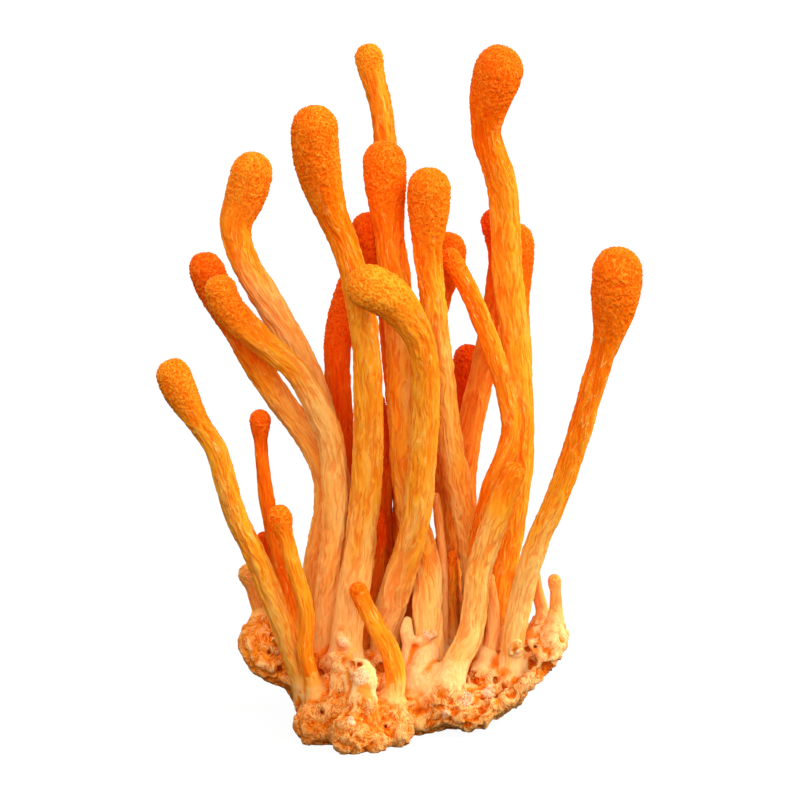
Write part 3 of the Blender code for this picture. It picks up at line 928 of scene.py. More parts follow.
CLUBS = (
    Club("club_left_outer", 2.15, 10.5, 1.32, 1.42, 1.25, Tone.LIT, (
        (-11.4, 6.4, 12.2), (-12.1, 9.0, 11.7), (-14.6, 16.2, 10.2), (-18.2, 25.1, 8.8),
        (-20.6, 30.2, 8.0), (-21.9, 34.5, 7.2), (-23.1, 38.6, 6.6), (-25.6, 42.4, 6.2),
        (-27.7, 46.2, 6.0), (-28.8, 49.5, 6.0)), fade=6.0, pallor=0.6, head_pallor=0.22, blush=0.75),
    Club("club_small_back_left", 1.35, 4.6, 0.86, 1.1, 1.3, Tone.HALF_SHADED, (
        (-12.6, 9.2, 16.5), (-13.0, 12.2, 16.3), (-14.6, 22.0, 15.8), (-16.1, 28.8, 15.4),
        (-16.9, 33.6, 15.0), (-17.4, 39.1, 14.6), (-17.5, 43.3, 14.4)), fade=14.0, pallor=0.15,
        head_pallor=-0.3),
    Club("club_small_front_left", 1.5, 4.4, 1.05, 1.0, 1.25, Tone.LIT, (
        (-10.1, 5.4, 9.3), (-10.6, 8.2, 9.1), (-11.9, 13.1, 8.6), (-11.8, 18.2, 8.4), (-13.8, 25.2, 8.4),
        (-14.9, 29.4, 8.6), (-15.0, 31.4, 8.7)), fade=4.0, pallor=0.36, head_pallor=0.1, blush=0.9),
    Club("club_left_front", 1.95, 12.0, 1.6, 1.6, 1.35, Tone.LIT, (
        (-9.6, 10.3, 18.7), (-9.7, 13.2, 18.4), (-9.1, 20.6, 17.6), (-8.1, 28.8, 16.7),
        (-8.5, 38.2, 15.6), (-10.1, 42.9, 15.1), (-12.9, 48.0, 14.5), (-16.5, 51.1, 14.0),
        (-19.8, 54.1, 13.5), (-21.8, 56.6, 13.2), (-22.8, 60.0, 13.0)), fade=9.0, pallor=0.86,
        head_pallor=0.22, blush=0.5, wrinkle=1.25),
    Club("club_left_middle", 2.2, 13.0, 1.62, 1.6, 1.4, Tone.HALF_SHADED, (
        (-11.4, 11.2, 22.7), (-11.4, 14.4, 22.5), (-10.4, 24.1, 21.2), (-9.3, 30.4, 20.4),
        (-9.2, 34.6, 19.9), (-11.3, 39.4, 19.4), (-15.4, 45.0, 19.0), (-19.2, 51.2, 18.7),
        (-22.4, 56.8, 18.5), (-24.0, 60.5, 18.4), (-24.1, 62.9, 18.4)), fade=16.0, pallor=0.9,
        head_pallor=-0.35),
    Club("club_left_upper", 2.62, 12.5, 1.75, 1.7, 1.5, Tone.LIT, (
        (-6.5, 12.4, 24.9), (-6.6, 15.5, 24.9), (-7.0, 25.0, 24.8), (-8.0, 34.4, 24.4),
        (-9.9, 43.0, 23.7), (-13.0, 50.8, 23.2), (-16.3, 56.5, 23.0), (-19.2, 61.4, 23.0),
        (-20.5, 66.0, 23.2), (-19.5, 69.6, 23.5), (-18.6, 73.0, 23.7), (-18.7, 75.5, 23.8)), fade=22.0,
        pallor=0.9, head_pallor=0.25, wrinkle=1.15),
    Club("club_left_inner", 1.88, 15.0, 1.6, 1.5, 1.4, Tone.DEEP, (
        (-6.4, 10.8, 28.8), (-6.3, 14.0, 28.7), (-6.2, 25.0, 28.6), (-6.9, 35.0, 28.4),
        (-7.5, 42.0, 28.3), (-7.8, 48.0, 28.4), (-7.7, 52.4, 28.7), (-6.6, 57.0, 29.2),
        (-5.4, 60.6, 29.7)), fade=16.0, pallor=0.45, head_pallor=0.1),
    Club("club_centre_left", 2.88, 18.0, 1.75, 2.02, 2.3, Tone.LIT, (
        (-6.9, 9.2, 15.5), (-6.8, 12.8, 15.3), (-6.5, 16.5, 15.0), (-5.4, 23.5, 14.7), (-4.3, 32.2, 14.1),
        (-4.0, 42.0, 13.4), (-4.2, 50.9, 12.9), (-5.4, 58.6, 12.6), (-6.7, 63.4, 12.4),
        (-9.1, 69.5, 12.0), (-10.4, 75.6, 11.4), (-10.6, 81.1, 11.0)), fade=28.0, pallor=0.58,
        head_pallor=0.0),
    Club("club_centre_stub", 1.2, 4.0, 1.15, 1.2, 1.2, Tone.DEEP, (
        (-4.9, 9.3, 21.4), (-4.8, 12.4, 21.2), (-4.0, 18.0, 20.7), (-2.9, 24.0, 19.7), (-2.7, 28.0, 18.9),
        (-3.2, 31.0, 18.6))),
    Club("club_centre_low", 1.55, 7.0, 1.6, 2.0, 2.0, Tone.DEEP, (
        (-2.4, 11.2, 25.3), (-2.5, 14.5, 25.0), (-2.5, 24.0, 23.9), (-2.8, 32.0, 22.0),
        (-2.7, 38.5, 20.7), (-3.2, 42.5, 20.0), (-3.9, 45.6, 19.6))),
    Club("club_bent", 2.78, 13.5, 1.72, 1.85, 1.8, Tone.LIT, (
        (-2.1, 9.4, 19.4), (-1.9, 12.6, 19.0), (-1.4, 17.6, 17.5), (0.0, 22.5, 15.2), (1.7, 28.6, 13.2),
        (2.6, 34.8, 12.0), (3.2, 42.0, 11.0), (3.1, 48.5, 9.9), (2.2, 52.6, 9.0), (-0.5, 56.5, 8.0),
        (-3.0, 58.2, 7.4), (-6.5, 59.5, 7.2)), fade=24.0, pallor=0.62, head_pallor=0.3),
    Club("club_centre_hidden", 2.1, 10.0, 1.45, 1.45, 1.45, Tone.DEEP, (
        (0.9, 10.4, 23.6), (0.8, 13.6, 23.3), (0.8, 25.0, 22.8), (0.3, 37.0, 22.4), (-0.4, 45.8, 22.0),
        (-1.0, 53.3, 21.7), (-2.1, 59.5, 21.3), (-3.8, 65.1, 21.0), (-4.2, 67.9, 21.0)), pallor=0.5,
        head_pallor=0.1),
    Club("club_centre", 2.58, 13.0, 1.78, 1.75, 1.95, Tone.LIT, (
        (3.4, 6.6, 15.8), (3.5, 9.6, 15.7), (3.6, 13.4, 15.9), (3.4, 18.0, 16.6), (3.3, 23.2, 17.9),
        (2.3, 27.4, 18.2), (1.1, 31.4, 18.1), (0.5, 39.0, 17.8), (0.1, 49.4, 17.4), (-0.4, 58.3, 17.2),
        (-1.2, 63.4, 17.3), (-1.8, 71.0, 17.8), (-2.0, 76.8, 18.2)), fade=27.0, pallor=0.6,
        head_pallor=-0.05, spread=0.9, wrinkle=1.3),
    Club("club_tall_back", 1.72, 5.5, 1.45, 1.42, 1.4, Tone.HALF_SHADED, (
        (2.3, 11.6, 27.6), (2.2, 14.8, 27.4), (1.7, 24.0, 27.1), (0.9, 33.0, 26.8), (0.0, 42.0, 26.6),
        (-0.4, 52.0, 26.6), (-1.1, 62.0, 27.2), (-1.6, 70.0, 28.6), (-1.9, 76.8, 30.2),
        (-2.4, 81.4, 31.5), (-3.7, 86.2, 32.8), (-4.1, 89.1, 33.4)), fade=16.0, pallor=0.32,
        head_pallor=0.4, wrinkle=1.2),
    Club("club_centre_right", 2.66, 13.5, 1.55, 1.6, 1.6, Tone.LIT, (
        (10.1, 10.8, 24.3), (10.0, 14.0, 24.1), (9.7, 18.0, 23.3), (9.2, 23.5, 22.0), (8.3, 29.0, 20.7),
        (7.0, 35.6, 18.4), (5.9, 42.0, 16.9), (4.8, 50.2, 15.9), (4.1, 56.9, 15.4), (3.5, 63.2, 15.0),
        (3.6, 68.4, 14.6), (3.8, 73.3, 14.2)), fade=22.0, pallor=0.72, head_pallor=0.1, wrinkle=1.35),
    Club("club_right_hidden", 2.4, 9.5, 1.45, 1.4, 1.4, Tone.HALF_SHADED, (
        (6.5, 10.8, 25.2), (6.5, 14.0, 25.0), (6.3, 24.0, 24.7), (5.6, 32.0, 24.0), (5.2, 39.0, 23.7),
        (4.7, 46.5, 23.7), (4.3, 52.6, 23.9), (5.0, 57.6, 24.3), (5.8, 61.6, 24.6), (5.9, 65.5, 24.8)),
        fade=16.0, pallor=0.6, head_pallor=-0.05),
    Club("club_crossing", 1.28, 6.0, 1.17, 1.36, 1.3, Tone.LIT, (
        (9.0, 9.2, 18.1), (9.0, 12.4, 18.2), (9.3, 19.5, 18.6), (9.8, 25.0, 18.4), (10.6, 30.2, 17.7),
        (11.8, 34.3, 17.4), (13.4, 38.1, 17.3), (13.9, 41.6, 17.3), (12.9, 46.9, 17.3),
        (11.2, 52.0, 17.5), (9.2, 56.8, 18.0), (6.6, 61.7, 18.7), (5.4, 63.2, 18.9)), fade=18.0,
        pallor=0.26, head_pallor=0.0),
    Club("club_dark_back", 1.78, 8.0, 1.65, 1.65, 1.55, Tone.DEEP, (
        (8.2, 10.6, 28.8), (8.1, 13.8, 28.7), (8.1, 24.0, 28.0), (7.9, 32.0, 27.0), (8.0, 36.5, 26.6),
        (9.1, 42.8, 26.3), (10.7, 49.4, 26.2), (12.2, 56.9, 26.3), (12.7, 61.8, 26.5), (12.4, 65.0, 26.7),
        (11.3, 68.4, 27.0)), fade=16.0, pallor=0.85, head_pallor=-0.2),
    Club("club_right_inner", 2.4, 10.0, 1.5, 1.45, 1.4, Tone.HALF_SHADED, (
        (12.2, 11.8, 27.6), (12.2, 14.9, 27.5), (13.3, 24.5, 28.1), (14.7, 34.0, 28.9),
        (14.9, 44.0, 29.8), (14.7, 52.0, 30.5), (14.6, 60.0, 31.1), (14.3, 66.6, 31.5)), fade=18.0,
        pallor=0.7, head_pallor=0.0),
    Club("club_tall_right", 3.0, 12.0, 1.85, 1.82, 1.5, Tone.LIT, (
        (12.2, 10.8, 19.9), (12.2, 13.9, 19.7), (12.5, 18.0, 19.9), (13.1, 24.5, 20.4),
        (14.1, 30.6, 20.9), (14.9, 38.0, 21.2), (14.9, 44.0, 21.4), (14.4, 52.1, 21.5),
        (13.4, 61.0, 21.5), (13.1, 67.5, 21.2), (12.5, 72.4, 20.6), (10.8, 77.1, 19.8),
        (11.0, 81.1, 19.2), (12.2, 85.2, 18.8), (13.0, 88.5, 18.6)), fade=9.0, pallor=0.5, blush=0.6),
    Club("club_low_back", 1.85, 6.5, 1.35, 1.35, 1.35, Tone.DEEP, (
        (4.6, 10.9, 30.8), (4.7, 14.0, 30.8), (5.5, 24.0, 30.8), (6.8, 34.0, 30.6), (7.8, 43.0, 30.6),
        (8.5, 48.6, 30.9), (9.1, 51.4, 31.1))),
    Club("club_curved_right", 1.52, 5.0, 1.52, 1.6, 2.05, Tone.LIT, (
        (5.4, 7.0, 11.3), (6.2, 9.6, 11.6), (7.3, 12.2, 12.2), (8.6, 14.8, 12.9), (9.4, 18.2, 13.3),
        (10.0, 23.5, 13.4), (11.9, 29.6, 13.2), (13.5, 33.9, 12.9), (14.6, 36.6, 12.7)), fade=24.0,
        pallor=0.72, head_pallor=0.2, grain=0.15, wrinkle=1.2, spread=0.8),
    Club("club_stub_right", 0.8, 3.0, 0.82, 0.85, 0.95, Tone.PALE, (
        (10.6, 8.6, 15.8), (10.8, 11.4, 15.7), (11.5, 14.8, 15.9), (11.6, 18.2, 16.2), (11.2, 21.0, 16.4),
        (10.9, 22.9, 16.5)), fade=16.0, pallor=0.7, head_pallor=0.5),
    Club("club_right_outer", 3.15, 15.0, 1.5, 1.38, 1.65, Tone.LIT, (
        (13.7, 8.2, 15.2), (13.9, 11.4, 15.0), (14.4, 16.1, 14.6), (15.7, 22.0, 14.0), (17.3, 27.0, 13.4),
        (19.6, 32.4, 12.7), (21.6, 37.9, 12.0), (23.4, 44.0, 11.3), (25.0, 49.4, 10.7),
        (26.3, 54.0, 10.3), (27.0, 59.0, 9.9), (27.1, 63.4, 9.6)), fade=36.0, pallor=0.3,
        head_pallor=-0.08, blush=0.15),
    Club("club_small_front", 1.12, 3.0, 1.14, 1.2, 1.45, Tone.LIT, (
        (-1.5, 3.8, 8.5), (-1.1, 6.4, 8.2), (-0.6, 9.8, 8.4), (-1.3, 13.2, 8.9), (-3.1, 16.4, 9.4),
        (-4.7, 19.4, 9.7), (-5.6, 21.7, 9.8)), fade=9.0, pallor=0.38, head_pallor=0.0, blush=0.5),
    Club("club_thin_pale", 0.55, 2.0, 0.55, 0.6, 0.6, Tone.PALE, (
        (5.6, 11.0, 19.0), (5.5, 14.0, 19.0), (5.5, 22.0, 19.4), (5.0, 28.0, 19.7), (4.4, 32.9, 19.4)),
        fade=20.0, pallor=0.7, head_pallor=0.6),
    Club("club_thin_right", 0.75, 2.5, 0.72, 0.75, 0.9, Tone.PALE, (
        (18.5, 15.4, 20.5), (18.0, 17.6, 20.2), (17.2, 20.5, 19.9), (16.8, 22.6, 19.6),
        (16.4, 24.5, 19.4)), fade=8.0, pallor=0.5, head_pallor=0.4, blush=0.5),
    Club("bud_ragged", 0.62, 3.6, 1.0, 1.0, 0.8, Tone.HALF_SHADED, (
        (6.6, 11.4, 21.5), (6.5, 14.2, 21.5), (6.2, 19.5, 21.6), (6.3, 22.6, 21.3), (6.6, 25.6, 20.5)),
        fade=8.0, pallor=0.5, head_pallor=0.3),
    Club("bud_left_back", 1.4, 3.4, 0.95, 0.9, 0.9, Tone.PALE, (
        (-16.9, 14.2, 16.8), (-17.3, 17.0, 16.9), (-18.0, 19.6, 17.1), (-18.7, 22.2, 17.2),
        (-19.2, 24.0, 17.3)), fade=6.0, pallor=0.4, head_pallor=0.6, blush=0.7),
    Club("bud_left_tiny", 0.95, 3.0, 0.85, 0.85, 0.85, Tone.DEEP, (
        (-15.4, 12.6, 19.6), (-15.6, 16.0, 19.4), (-16.2, 21.4, 18.9), (-16.8, 25.4, 18.6),
        (-17.2, 28.0, 18.4)), fade=6.0, pallor=0.2, head_pallor=0.0, blush=0.7),
    Club("bud_right", 0.82, 2.6, 0.66, 0.75, 0.95, Tone.PALE, (
        (19.4, 15.3, 16.3), (19.5, 17.2, 16.2), (19.5, 19.6, 16.1), (19.4, 21.2, 16.0),
        (19.2, 22.7, 16.0)), fade=3.0, pallor=0.7, head_pallor=0.6, blush=0.9),
)
CLUB_ORDER = {club.name: index for index, club in enumerate(CLUBS)}


class FleshPaint:
    """The colours and the fine height of a club's skin, with painted shade in its furrows and thin lines
    and painted highlight on its ridges, pale dashes and flakes.

    Patterns and edges are as in MatPaint, and threads as in Weave.
    """

    # The colour of the furrows is painted shade, and the colour of the ridges painted highlight
    COLOURS = ("Ripe", "Peach", "Cream", "Head", "Furrow_shade", "Ridge_highlight")
    CLOUD, CLOUD_SHARE = ((0.55, 0.55, 0.12),), 0.7
    SPECK, SPECK_EDGE, SPECK_ROUGHNESS = (2.6, 2.0, 0.6), (0.3, 0.7), 0.2
    PALE_FOOT = (1.0, 0.8, 0.3, 1.0)  # a pale foot has weak threads
    # The thin lines carry painted shade, and the pale dashes painted highlight
    LINES, LINE_SHARE = (1.6, 0.13, 0.08, 0.42), 0.9
    DASHES, DASH_SHARE = (2.3, 0.32, 0.06, 0.56), 0.55
    RIPE_EDGE, PEACH_EDGE, CREAM_EDGE = (-0.35, 0.1), (0.0, 0.6), (0.5, 1.05)
    # Painted shade in the furrows, and painted highlight on the tops of the ridges
    FURROW_EDGE, FURROW_SHARES = (0.2, -0.9), (0.8, 1.0)  # on the stem and on the head
    RIDGE_EDGE, RIDGE_SHARE = (0.3, 1.2), 0.4
    STEM_GRAIN, HEAD_GRAIN = ((6.0, 6.0, 1.2), 1.0), (5.0, 1.0)
    RELIEF_HEIGHT, GRAIN_HEIGHT, DASH_HEIGHT = 0.5, 0.45, 0.7

    def tree(self) -> Tree:
        """Build the shader group that all clubs share.

        Returns:
            The group, with the skin's colour, its roughness and its fine height.
        """
        inputs = {title: ("NodeSocketColor", WHITE) for title in self.COLOURS}
        sheet, given, result = new_tree(
            "flesh_tones", "ShaderNodeTree", inputs | {"Roughness": ("NodeSocketFloat", 0.6)},
            {"Colour": "NodeSocketColor", "Roughness": "NodeSocketFloat",
             "Height": "NodeSocketFloat"})
        ripe, peach, cream, head, furrow_shade, ridge_highlight = (given[title] for title in self.COLOURS)
        headness, pallor, flake = (
            sheet.mark(title) for title in ("headness", "pallor", "flake"))
        place = sheet.mark("grain", "Vector")
        weave = Weave(sheet, place)
        relief = sheet.blend(headness, weave.stem(), weave.head())
        speck = sheet.noise(place, *self.SPECK)
        on_stem = sheet.times(sheet.less(1.0, headness), sheet.step(pallor, *self.PALE_FOOT))
        line = sheet.times(weave.threads(*self.LINES), on_stem)
        dash = sheet.times(weave.threads(*self.DASHES), sheet.times(on_stem, self.DASH_SHARE))
        pale = sheet.plus(pallor, sheet.times(sheet.wave(place, *self.CLOUD), self.CLOUD_SHARE))
        colour = head
        for edge, tone in ((self.RIPE_EDGE, ripe), (self.PEACH_EDGE, peach),
                           (self.CREAM_EDGE, cream)):
            colour = sheet.tint(sheet.step(pale, *edge), colour, tone)
        # Painted shade: the furrows of the relief and the thin lines are multiplied darker
        low = sheet.times(sheet.step(relief, *self.FURROW_EDGE),
                          sheet.blend(headness, *self.FURROW_SHARES))
        low = sheet.most(low, sheet.times(line, self.LINE_SHARE))
        # Painted highlight: the tops of the ridges, the pale dashes and the flakes are mixed paler
        high = sheet.times(sheet.step(relief, *self.RIDGE_EDGE),
                           sheet.step(speck, *self.SPECK_EDGE), self.RIDGE_SHARE)
        high = sheet.most(high, sheet.most(dash, flake))
        colour = sheet.tint(low, colour, furrow_shade, "MULTIPLY")
        sheet.plug(result["Colour"], sheet.tint(high, colour, ridge_highlight))
        sheet.plug(result["Roughness"], sheet.plus(given["Roughness"], sheet.times(
            sheet.less(speck, MIDDLE), self.SPECK_ROUGHNESS)))
        grain = sheet.blend(headness, sheet.noise(weave.place, *self.STEM_GRAIN),
                            sheet.noise(place, *self.HEAD_GRAIN))
        fine = sheet.plus(sheet.times(relief, self.RELIEF_HEIGHT),
                          sheet.times(grain, self.GRAIN_HEIGHT),
                          sheet.times(dash, self.DASH_HEIGHT))
        sheet.plug(result["Height"], sheet.less(fine, line))
        return sheet.tree


def new_material(name: str) -> tuple[bpy.types.Material, Sheet, object]:
    """Start a material.

    Args:
        name: Its name.

    Returns:
        The material, the sheet to work on and the shader's inputs.
    """
    material = bpy.data.materials.new(name)
    material.use_nodes = True
    return material, Sheet(material.node_tree), material.node_tree.nodes[PRINCIPLED].inputs


def finish_skin(sheet: Sheet, shader: object, look: Surface, colour: Socket,
                roughness: Socket, height: Socket) -> None:
    """Wire a skin's shader.

    Args:
        sheet: The sheet to work on.
        shader: The shader's inputs.
        look: How the skin takes the light.
        colour: The skin's colour.
        roughness: Its roughness.
        height: Its fine height.
    """
    bump = sheet.add("ShaderNodeBump", {
        "Height": height, "Strength": look.bump, "Distance": look.bump_depth * MM})
    for title, value in (("Base Color", colour), ("Roughness", roughness),
                         ("Normal", bump.outputs[0]), ("Subsurface Weight", look.subsurface),
                         ("Subsurface Radius", look.bleed),
                         ("Subsurface Scale", look.bleed_depth * MM),
                         ("Specular IOR Level", look.sheen)):
        sheet.plug(shader[title], value)


def flesh_material(tone: Tone, tones: Tree) -> bpy.types.Material:
    """The material of a club's skin.

    Args:
        tone: The club's tone.
        tones: The shared group that colours the skin.

    Returns:
        The material.
    """
    finish = FLESH[tone]
    material, sheet, shader = new_material(tone.value)
    group = sheet.add("ShaderNodeGroup", node_tree=tones)
    # The colour of the furrows is painted shade, and the colour of the ridges painted highlight
    for title, colour in (("Ripe", finish.ripe), ("Peach", finish.peach),
                          ("Cream", finish.cream), ("Head", finish.head),
                          ("Furrow_shade", finish.furrow_shade), ("Ridge_highlight", finish.ridge_highlight)):
        group.inputs[title].default_value = (*colour, 1.0)
    group.inputs["Roughness"].default_value = finish.roughness
    finish_skin(sheet, shader, finish, *(
        group.outputs[title] for title in ("Colour", "Roughness", "Height")))
    return material


class MatPaint:
    """The colours and the fine height of the mycelium mat, with painted highlight on its proud places and
    painted shade in its creases, hollows, grooves and on its lower faces.

    A pattern is a noise's fineness for each millimetre, its detail, its roughness and its
    distortion. An edge is where something starts to count and where it counts in full.
    """

    CLOUD = (0.4, 3.0, 0.6)
    PATCH = (0.8, 3.0, 0.6, 1.2)
    SPECK = (2.6, 3.0, 0.6)
    WANDER = (0.35, 1.0, 0.0, 7.0)
    CURLS, CURL_EDGE, CURL_SHARE = (1.4, 2.0, 0.6, 3.0), (0.55, 0.61), 0.25
    STREAKS, STREAK_SHARE = ((2.4, 2.4, 0.7),), 0.5
    STRANDS, STRAND_EDGE = ((1.7, 1.7, 0.5), 1.0), (0.0, 0.06)
    STRAIGHT, STRAIGHT_EDGE = ((2.6, 2.6, 0.45), 2.0, 0.5, 0.3), (0.36, 0.62)
    SHREDS, SHRED_EDGE = (1.3, 1.0, 0.5, 2.5), (0.02, 0.07)
    LINES = ((6.0, 6.0, 1.4),)
    GRAIN = ((5.0, 5.0, 0.8), 2.0, 0.5, 0.3)
    # The paling to the right is partly the mat's own paler right end and partly painted light from the
    # right side
    SLANT, CREAM_EDGE = 0.014, (0.36, 0.6)  # the mat grows paler to the right
    # LEFT_EDGE turns the mat's far left orange: painted shade on the side away from the light
    ORANGE_EDGE, ORANGE_SHARE, LEFT_EDGE = (0.5, 0.64), 0.7, (-11.0, -15.0, 0.0, 0.75)
    EMBER_EDGE, EMBER_RAG = (0.1, 0.9), 1.6
    FOOT_EMBER, FOOT_ORANGE = 0.9, 0.2
    # Painted highlight: what stands proud turns paler, towards the colour of the feet
    PROUD_EDGE, PROUD_SHARE = (0.04, 0.26), 0.6
    # Painted shade: shallow creases turn ember orange, deeper creases and the marked hollows the dark
    # colour of the pits
    LOW_EDGE, LOW_SHARE = (0.02, -0.12), 0.95
    DEEP_EDGE, DEEP_SHARE, HOLLOW_SHARE = (-0.1, -0.26), 0.9, 0.75
    # What the mat's strands, lines and grain count for on the mat and on a foot; the share of the strands
    # is painted shade in their grooves
    STRAND_SHADES, LINE_HEIGHTS = (1.0, 0.08), (0.6, 0.0)
    GRAIN_HEIGHTS, STRAND_HEIGHTS = (0.0, 0.8), (0.9, 0.08)
    COLLAR_EDGE = (0.1, 0.8)
    TORN_EDGE = (0.15, 0.6, 0.0, 0.9)
    # Painted shade on faces that look down and on the parts near the floor
    BELOW_EDGE, GROUND_EDGE = (0.0, -1.0), (7.5, 3.0)
    ROUGHNESS = (0.2, 0.8, 0.65, 0.85)

    def __init__(self, sheet: Sheet, finish: MatFinish) -> None:
        """Read the mat's marks and lay out the patterns.

        Args:
            sheet: The sheet to work on.
            finish: The mat's finish.
        """
        self.sheet, self.finish = sheet, finish
        self.place = sheet.vector(
            "SCALE", sheet.add("ShaderNodeTexCoord").outputs["Object"], 1 / MM)
        self.flow = sheet.stir(self.place, self.place, *self.WANDER)
        self.collar, self.proud = sheet.mark("collar"), sheet.mark("proud")
        self.straight = sheet.noise(self.place, *self.STRAIGHT)
        self.strands = sheet.step(sheet.vein(self.flow, *self.STRANDS), *self.STRAND_EDGE)

    def flesh(self) -> Socket:
        """Colour the mat and the feet that stand on it, with painted highlight where it stands proud,
        paler to the right partly by painted light, and painted shade at its far left.

        Returns:
            The colour, without the painted shade and hollows and without the torn fibres.
        """
        sheet, look = self.sheet, self.finish
        across = sheet.add("ShaderNodeSeparateXYZ", {0: self.place}).outputs["X"]
        patch = sheet.noise(self.place, *self.PATCH)
        curls = sheet.step(sheet.noise(self.place, *self.CURLS), *self.CURL_EDGE)
        # Partly painted light: the cream share grows to the right, where the light comes from
        slant = sheet.plus(sheet.noise(self.place, *self.CLOUD),
                           sheet.times(across, self.SLANT),
                           sheet.times(sheet.wave(self.flow, *self.STREAKS), self.STREAK_SHARE))
        orange = sheet.times(sheet.step(patch, *self.ORANGE_EDGE), self.ORANGE_SHARE)
        # Painted shade: the far left of the mat turns orange
        orange = sheet.most(orange, sheet.step(across, *self.LEFT_EDGE))
        # Painted highlight on what stands proud
        proud = sheet.times(sheet.step(self.proud, *self.PROUD_EDGE), self.PROUD_SHARE)
        ember = sheet.step(sheet.plus(sheet.mark("ember"), sheet.times(
            sheet.less(patch, MIDDLE), self.EMBER_RAG)), *self.EMBER_EDGE)
        bare = sheet.less(1.0, self.collar)
        colour = sheet.tint(sheet.step(slant, *self.CREAM_EDGE), look.peach, look.cream)
        colour = sheet.tint(sheet.most(orange, ember), colour, look.ember)
        colour = sheet.tint(sheet.times(curls, sheet.times(bare, self.CURL_SHARE)), colour,
                            look.ember)
        colour = sheet.tint(proud, colour, look.foot)
        foot = sheet.tint(sheet.step(self.straight, *self.STRAIGHT_EDGE), look.cream, look.foot)
        foot = sheet.tint(sheet.most(sheet.times(ember, self.FOOT_EMBER),
                                     sheet.times(orange, self.FOOT_ORANGE)), foot, look.ember)
        foot = sheet.tint(sheet.mark("blush"), foot, look.blush)
        return sheet.tint(sheet.step(self.collar, *self.COLLAR_EDGE), colour, foot)

    def colour(self) -> Socket:
        """Colour the mat with painted shade in its creases, hollows, the grooves of its strands and on
        faces that look down or lie low, and with its torn fibres.

        Returns:
            The colour.
        """
        sheet, look = self.sheet, self.finish
        height = sheet.add("ShaderNodeSeparateXYZ", {0: self.place}).outputs["Z"]
        facing = sheet.add("ShaderNodeSeparateXYZ", {
            0: sheet.add("ShaderNodeNewGeometry").outputs["Normal"]}).outputs["Z"]
        # Painted shade in the creases and hollows, from how far each place stands proud
        low = sheet.times(sheet.step(self.proud, *self.LOW_EDGE), self.LOW_SHARE)
        deep = sheet.times(sheet.step(self.proud, *self.DEEP_EDGE), self.DEEP_SHARE)
        deep = sheet.most(sheet.times(sheet.mark("hollow"), self.HOLLOW_SHARE), deep)
        # Painted shade in the grooves of the strands
        strands = sheet.times(sheet.less(1.0, self.strands),
                              sheet.blend(self.collar, *self.STRAND_SHADES))
        # Painted shade on faces that look down, and darker towards the bottom near the floor
        below = sheet.most(sheet.step(facing, *self.BELOW_EDGE),
                           sheet.step(height, *self.GROUND_EDGE))
        colour = sheet.tint(low, self.flesh(), look.ember)
        colour = sheet.tint(deep, colour, look.pit)
        colour = sheet.tint(strands, colour, look.strand_shade, "MULTIPLY")
        colour = sheet.tint(below, colour, look.underside_shade, "MULTIPLY")
        shreds = sheet.step(sheet.vein(self.place, *self.SHREDS), *self.SHRED_EDGE)
        shreds = sheet.tint(shreds, look.ember, look.fibre)
        colour = sheet.tint(sheet.step(sheet.mark("torn"), *self.TORN_EDGE), colour, shreds)
        return sheet.tint(sheet.mark("fibre"), colour, look.fibre)

    def height(self) -> Socket:
        """Raise fine lines on the mat and fine grain on the feet.

        Returns:
            The height.
        """
        sheet, collar = self.sheet, self.collar
        grain = sheet.plus(sheet.noise(self.place, *self.GRAIN), self.straight)
        return sheet.plus(*(
            sheet.times(layer, sheet.blend(collar, *heights)) for layer, heights in (
                (sheet.wave(self.flow, *self.LINES), self.LINE_HEIGHTS),
                (grain, self.GRAIN_HEIGHTS), (self.strands, self.STRAND_HEIGHTS))))

    def roughness(self) -> Socket:
        """The mat's roughness."""
        return self.sheet.step(self.sheet.noise(self.place, *self.SPECK), *self.ROUGHNESS)


def mat_material(finish: MatFinish) -> bpy.types.Material:
    """The material of the mycelium mat.

    Args:
        finish: The finish.

    Returns:
        The material.
    """
    material, sheet, shader = new_material("mycelium")
    paint = MatPaint(sheet, finish)
    finish_skin(sheet, shader, finish, paint.colour(), paint.roughness(), paint.height())
    return material


TONES = FleshPaint().tree()
FINISHES = {tone: flesh_material(tone, TONES) for tone in Tone}


@dataclass(frozen=True)
class Growth:
    """A lobe, fold or knob of the mat.

    A path point is (across, up, depth, radius) in millimetres in the tilted front view.
    Smooth is how much of it is smooth flesh like a club's foot, from 0 to 1.
    """

    name: str
    path: tuple
    smooth: float = 0.0

    def line(self) -> tuple[np.ndarray, np.ndarray]:
        """The growth's middle line in world millimetres, and its radii."""
        points = [from_front_view(point[:3]) for point in self.path]
        return np.array(points), np.array([point[3] for point in self.path])


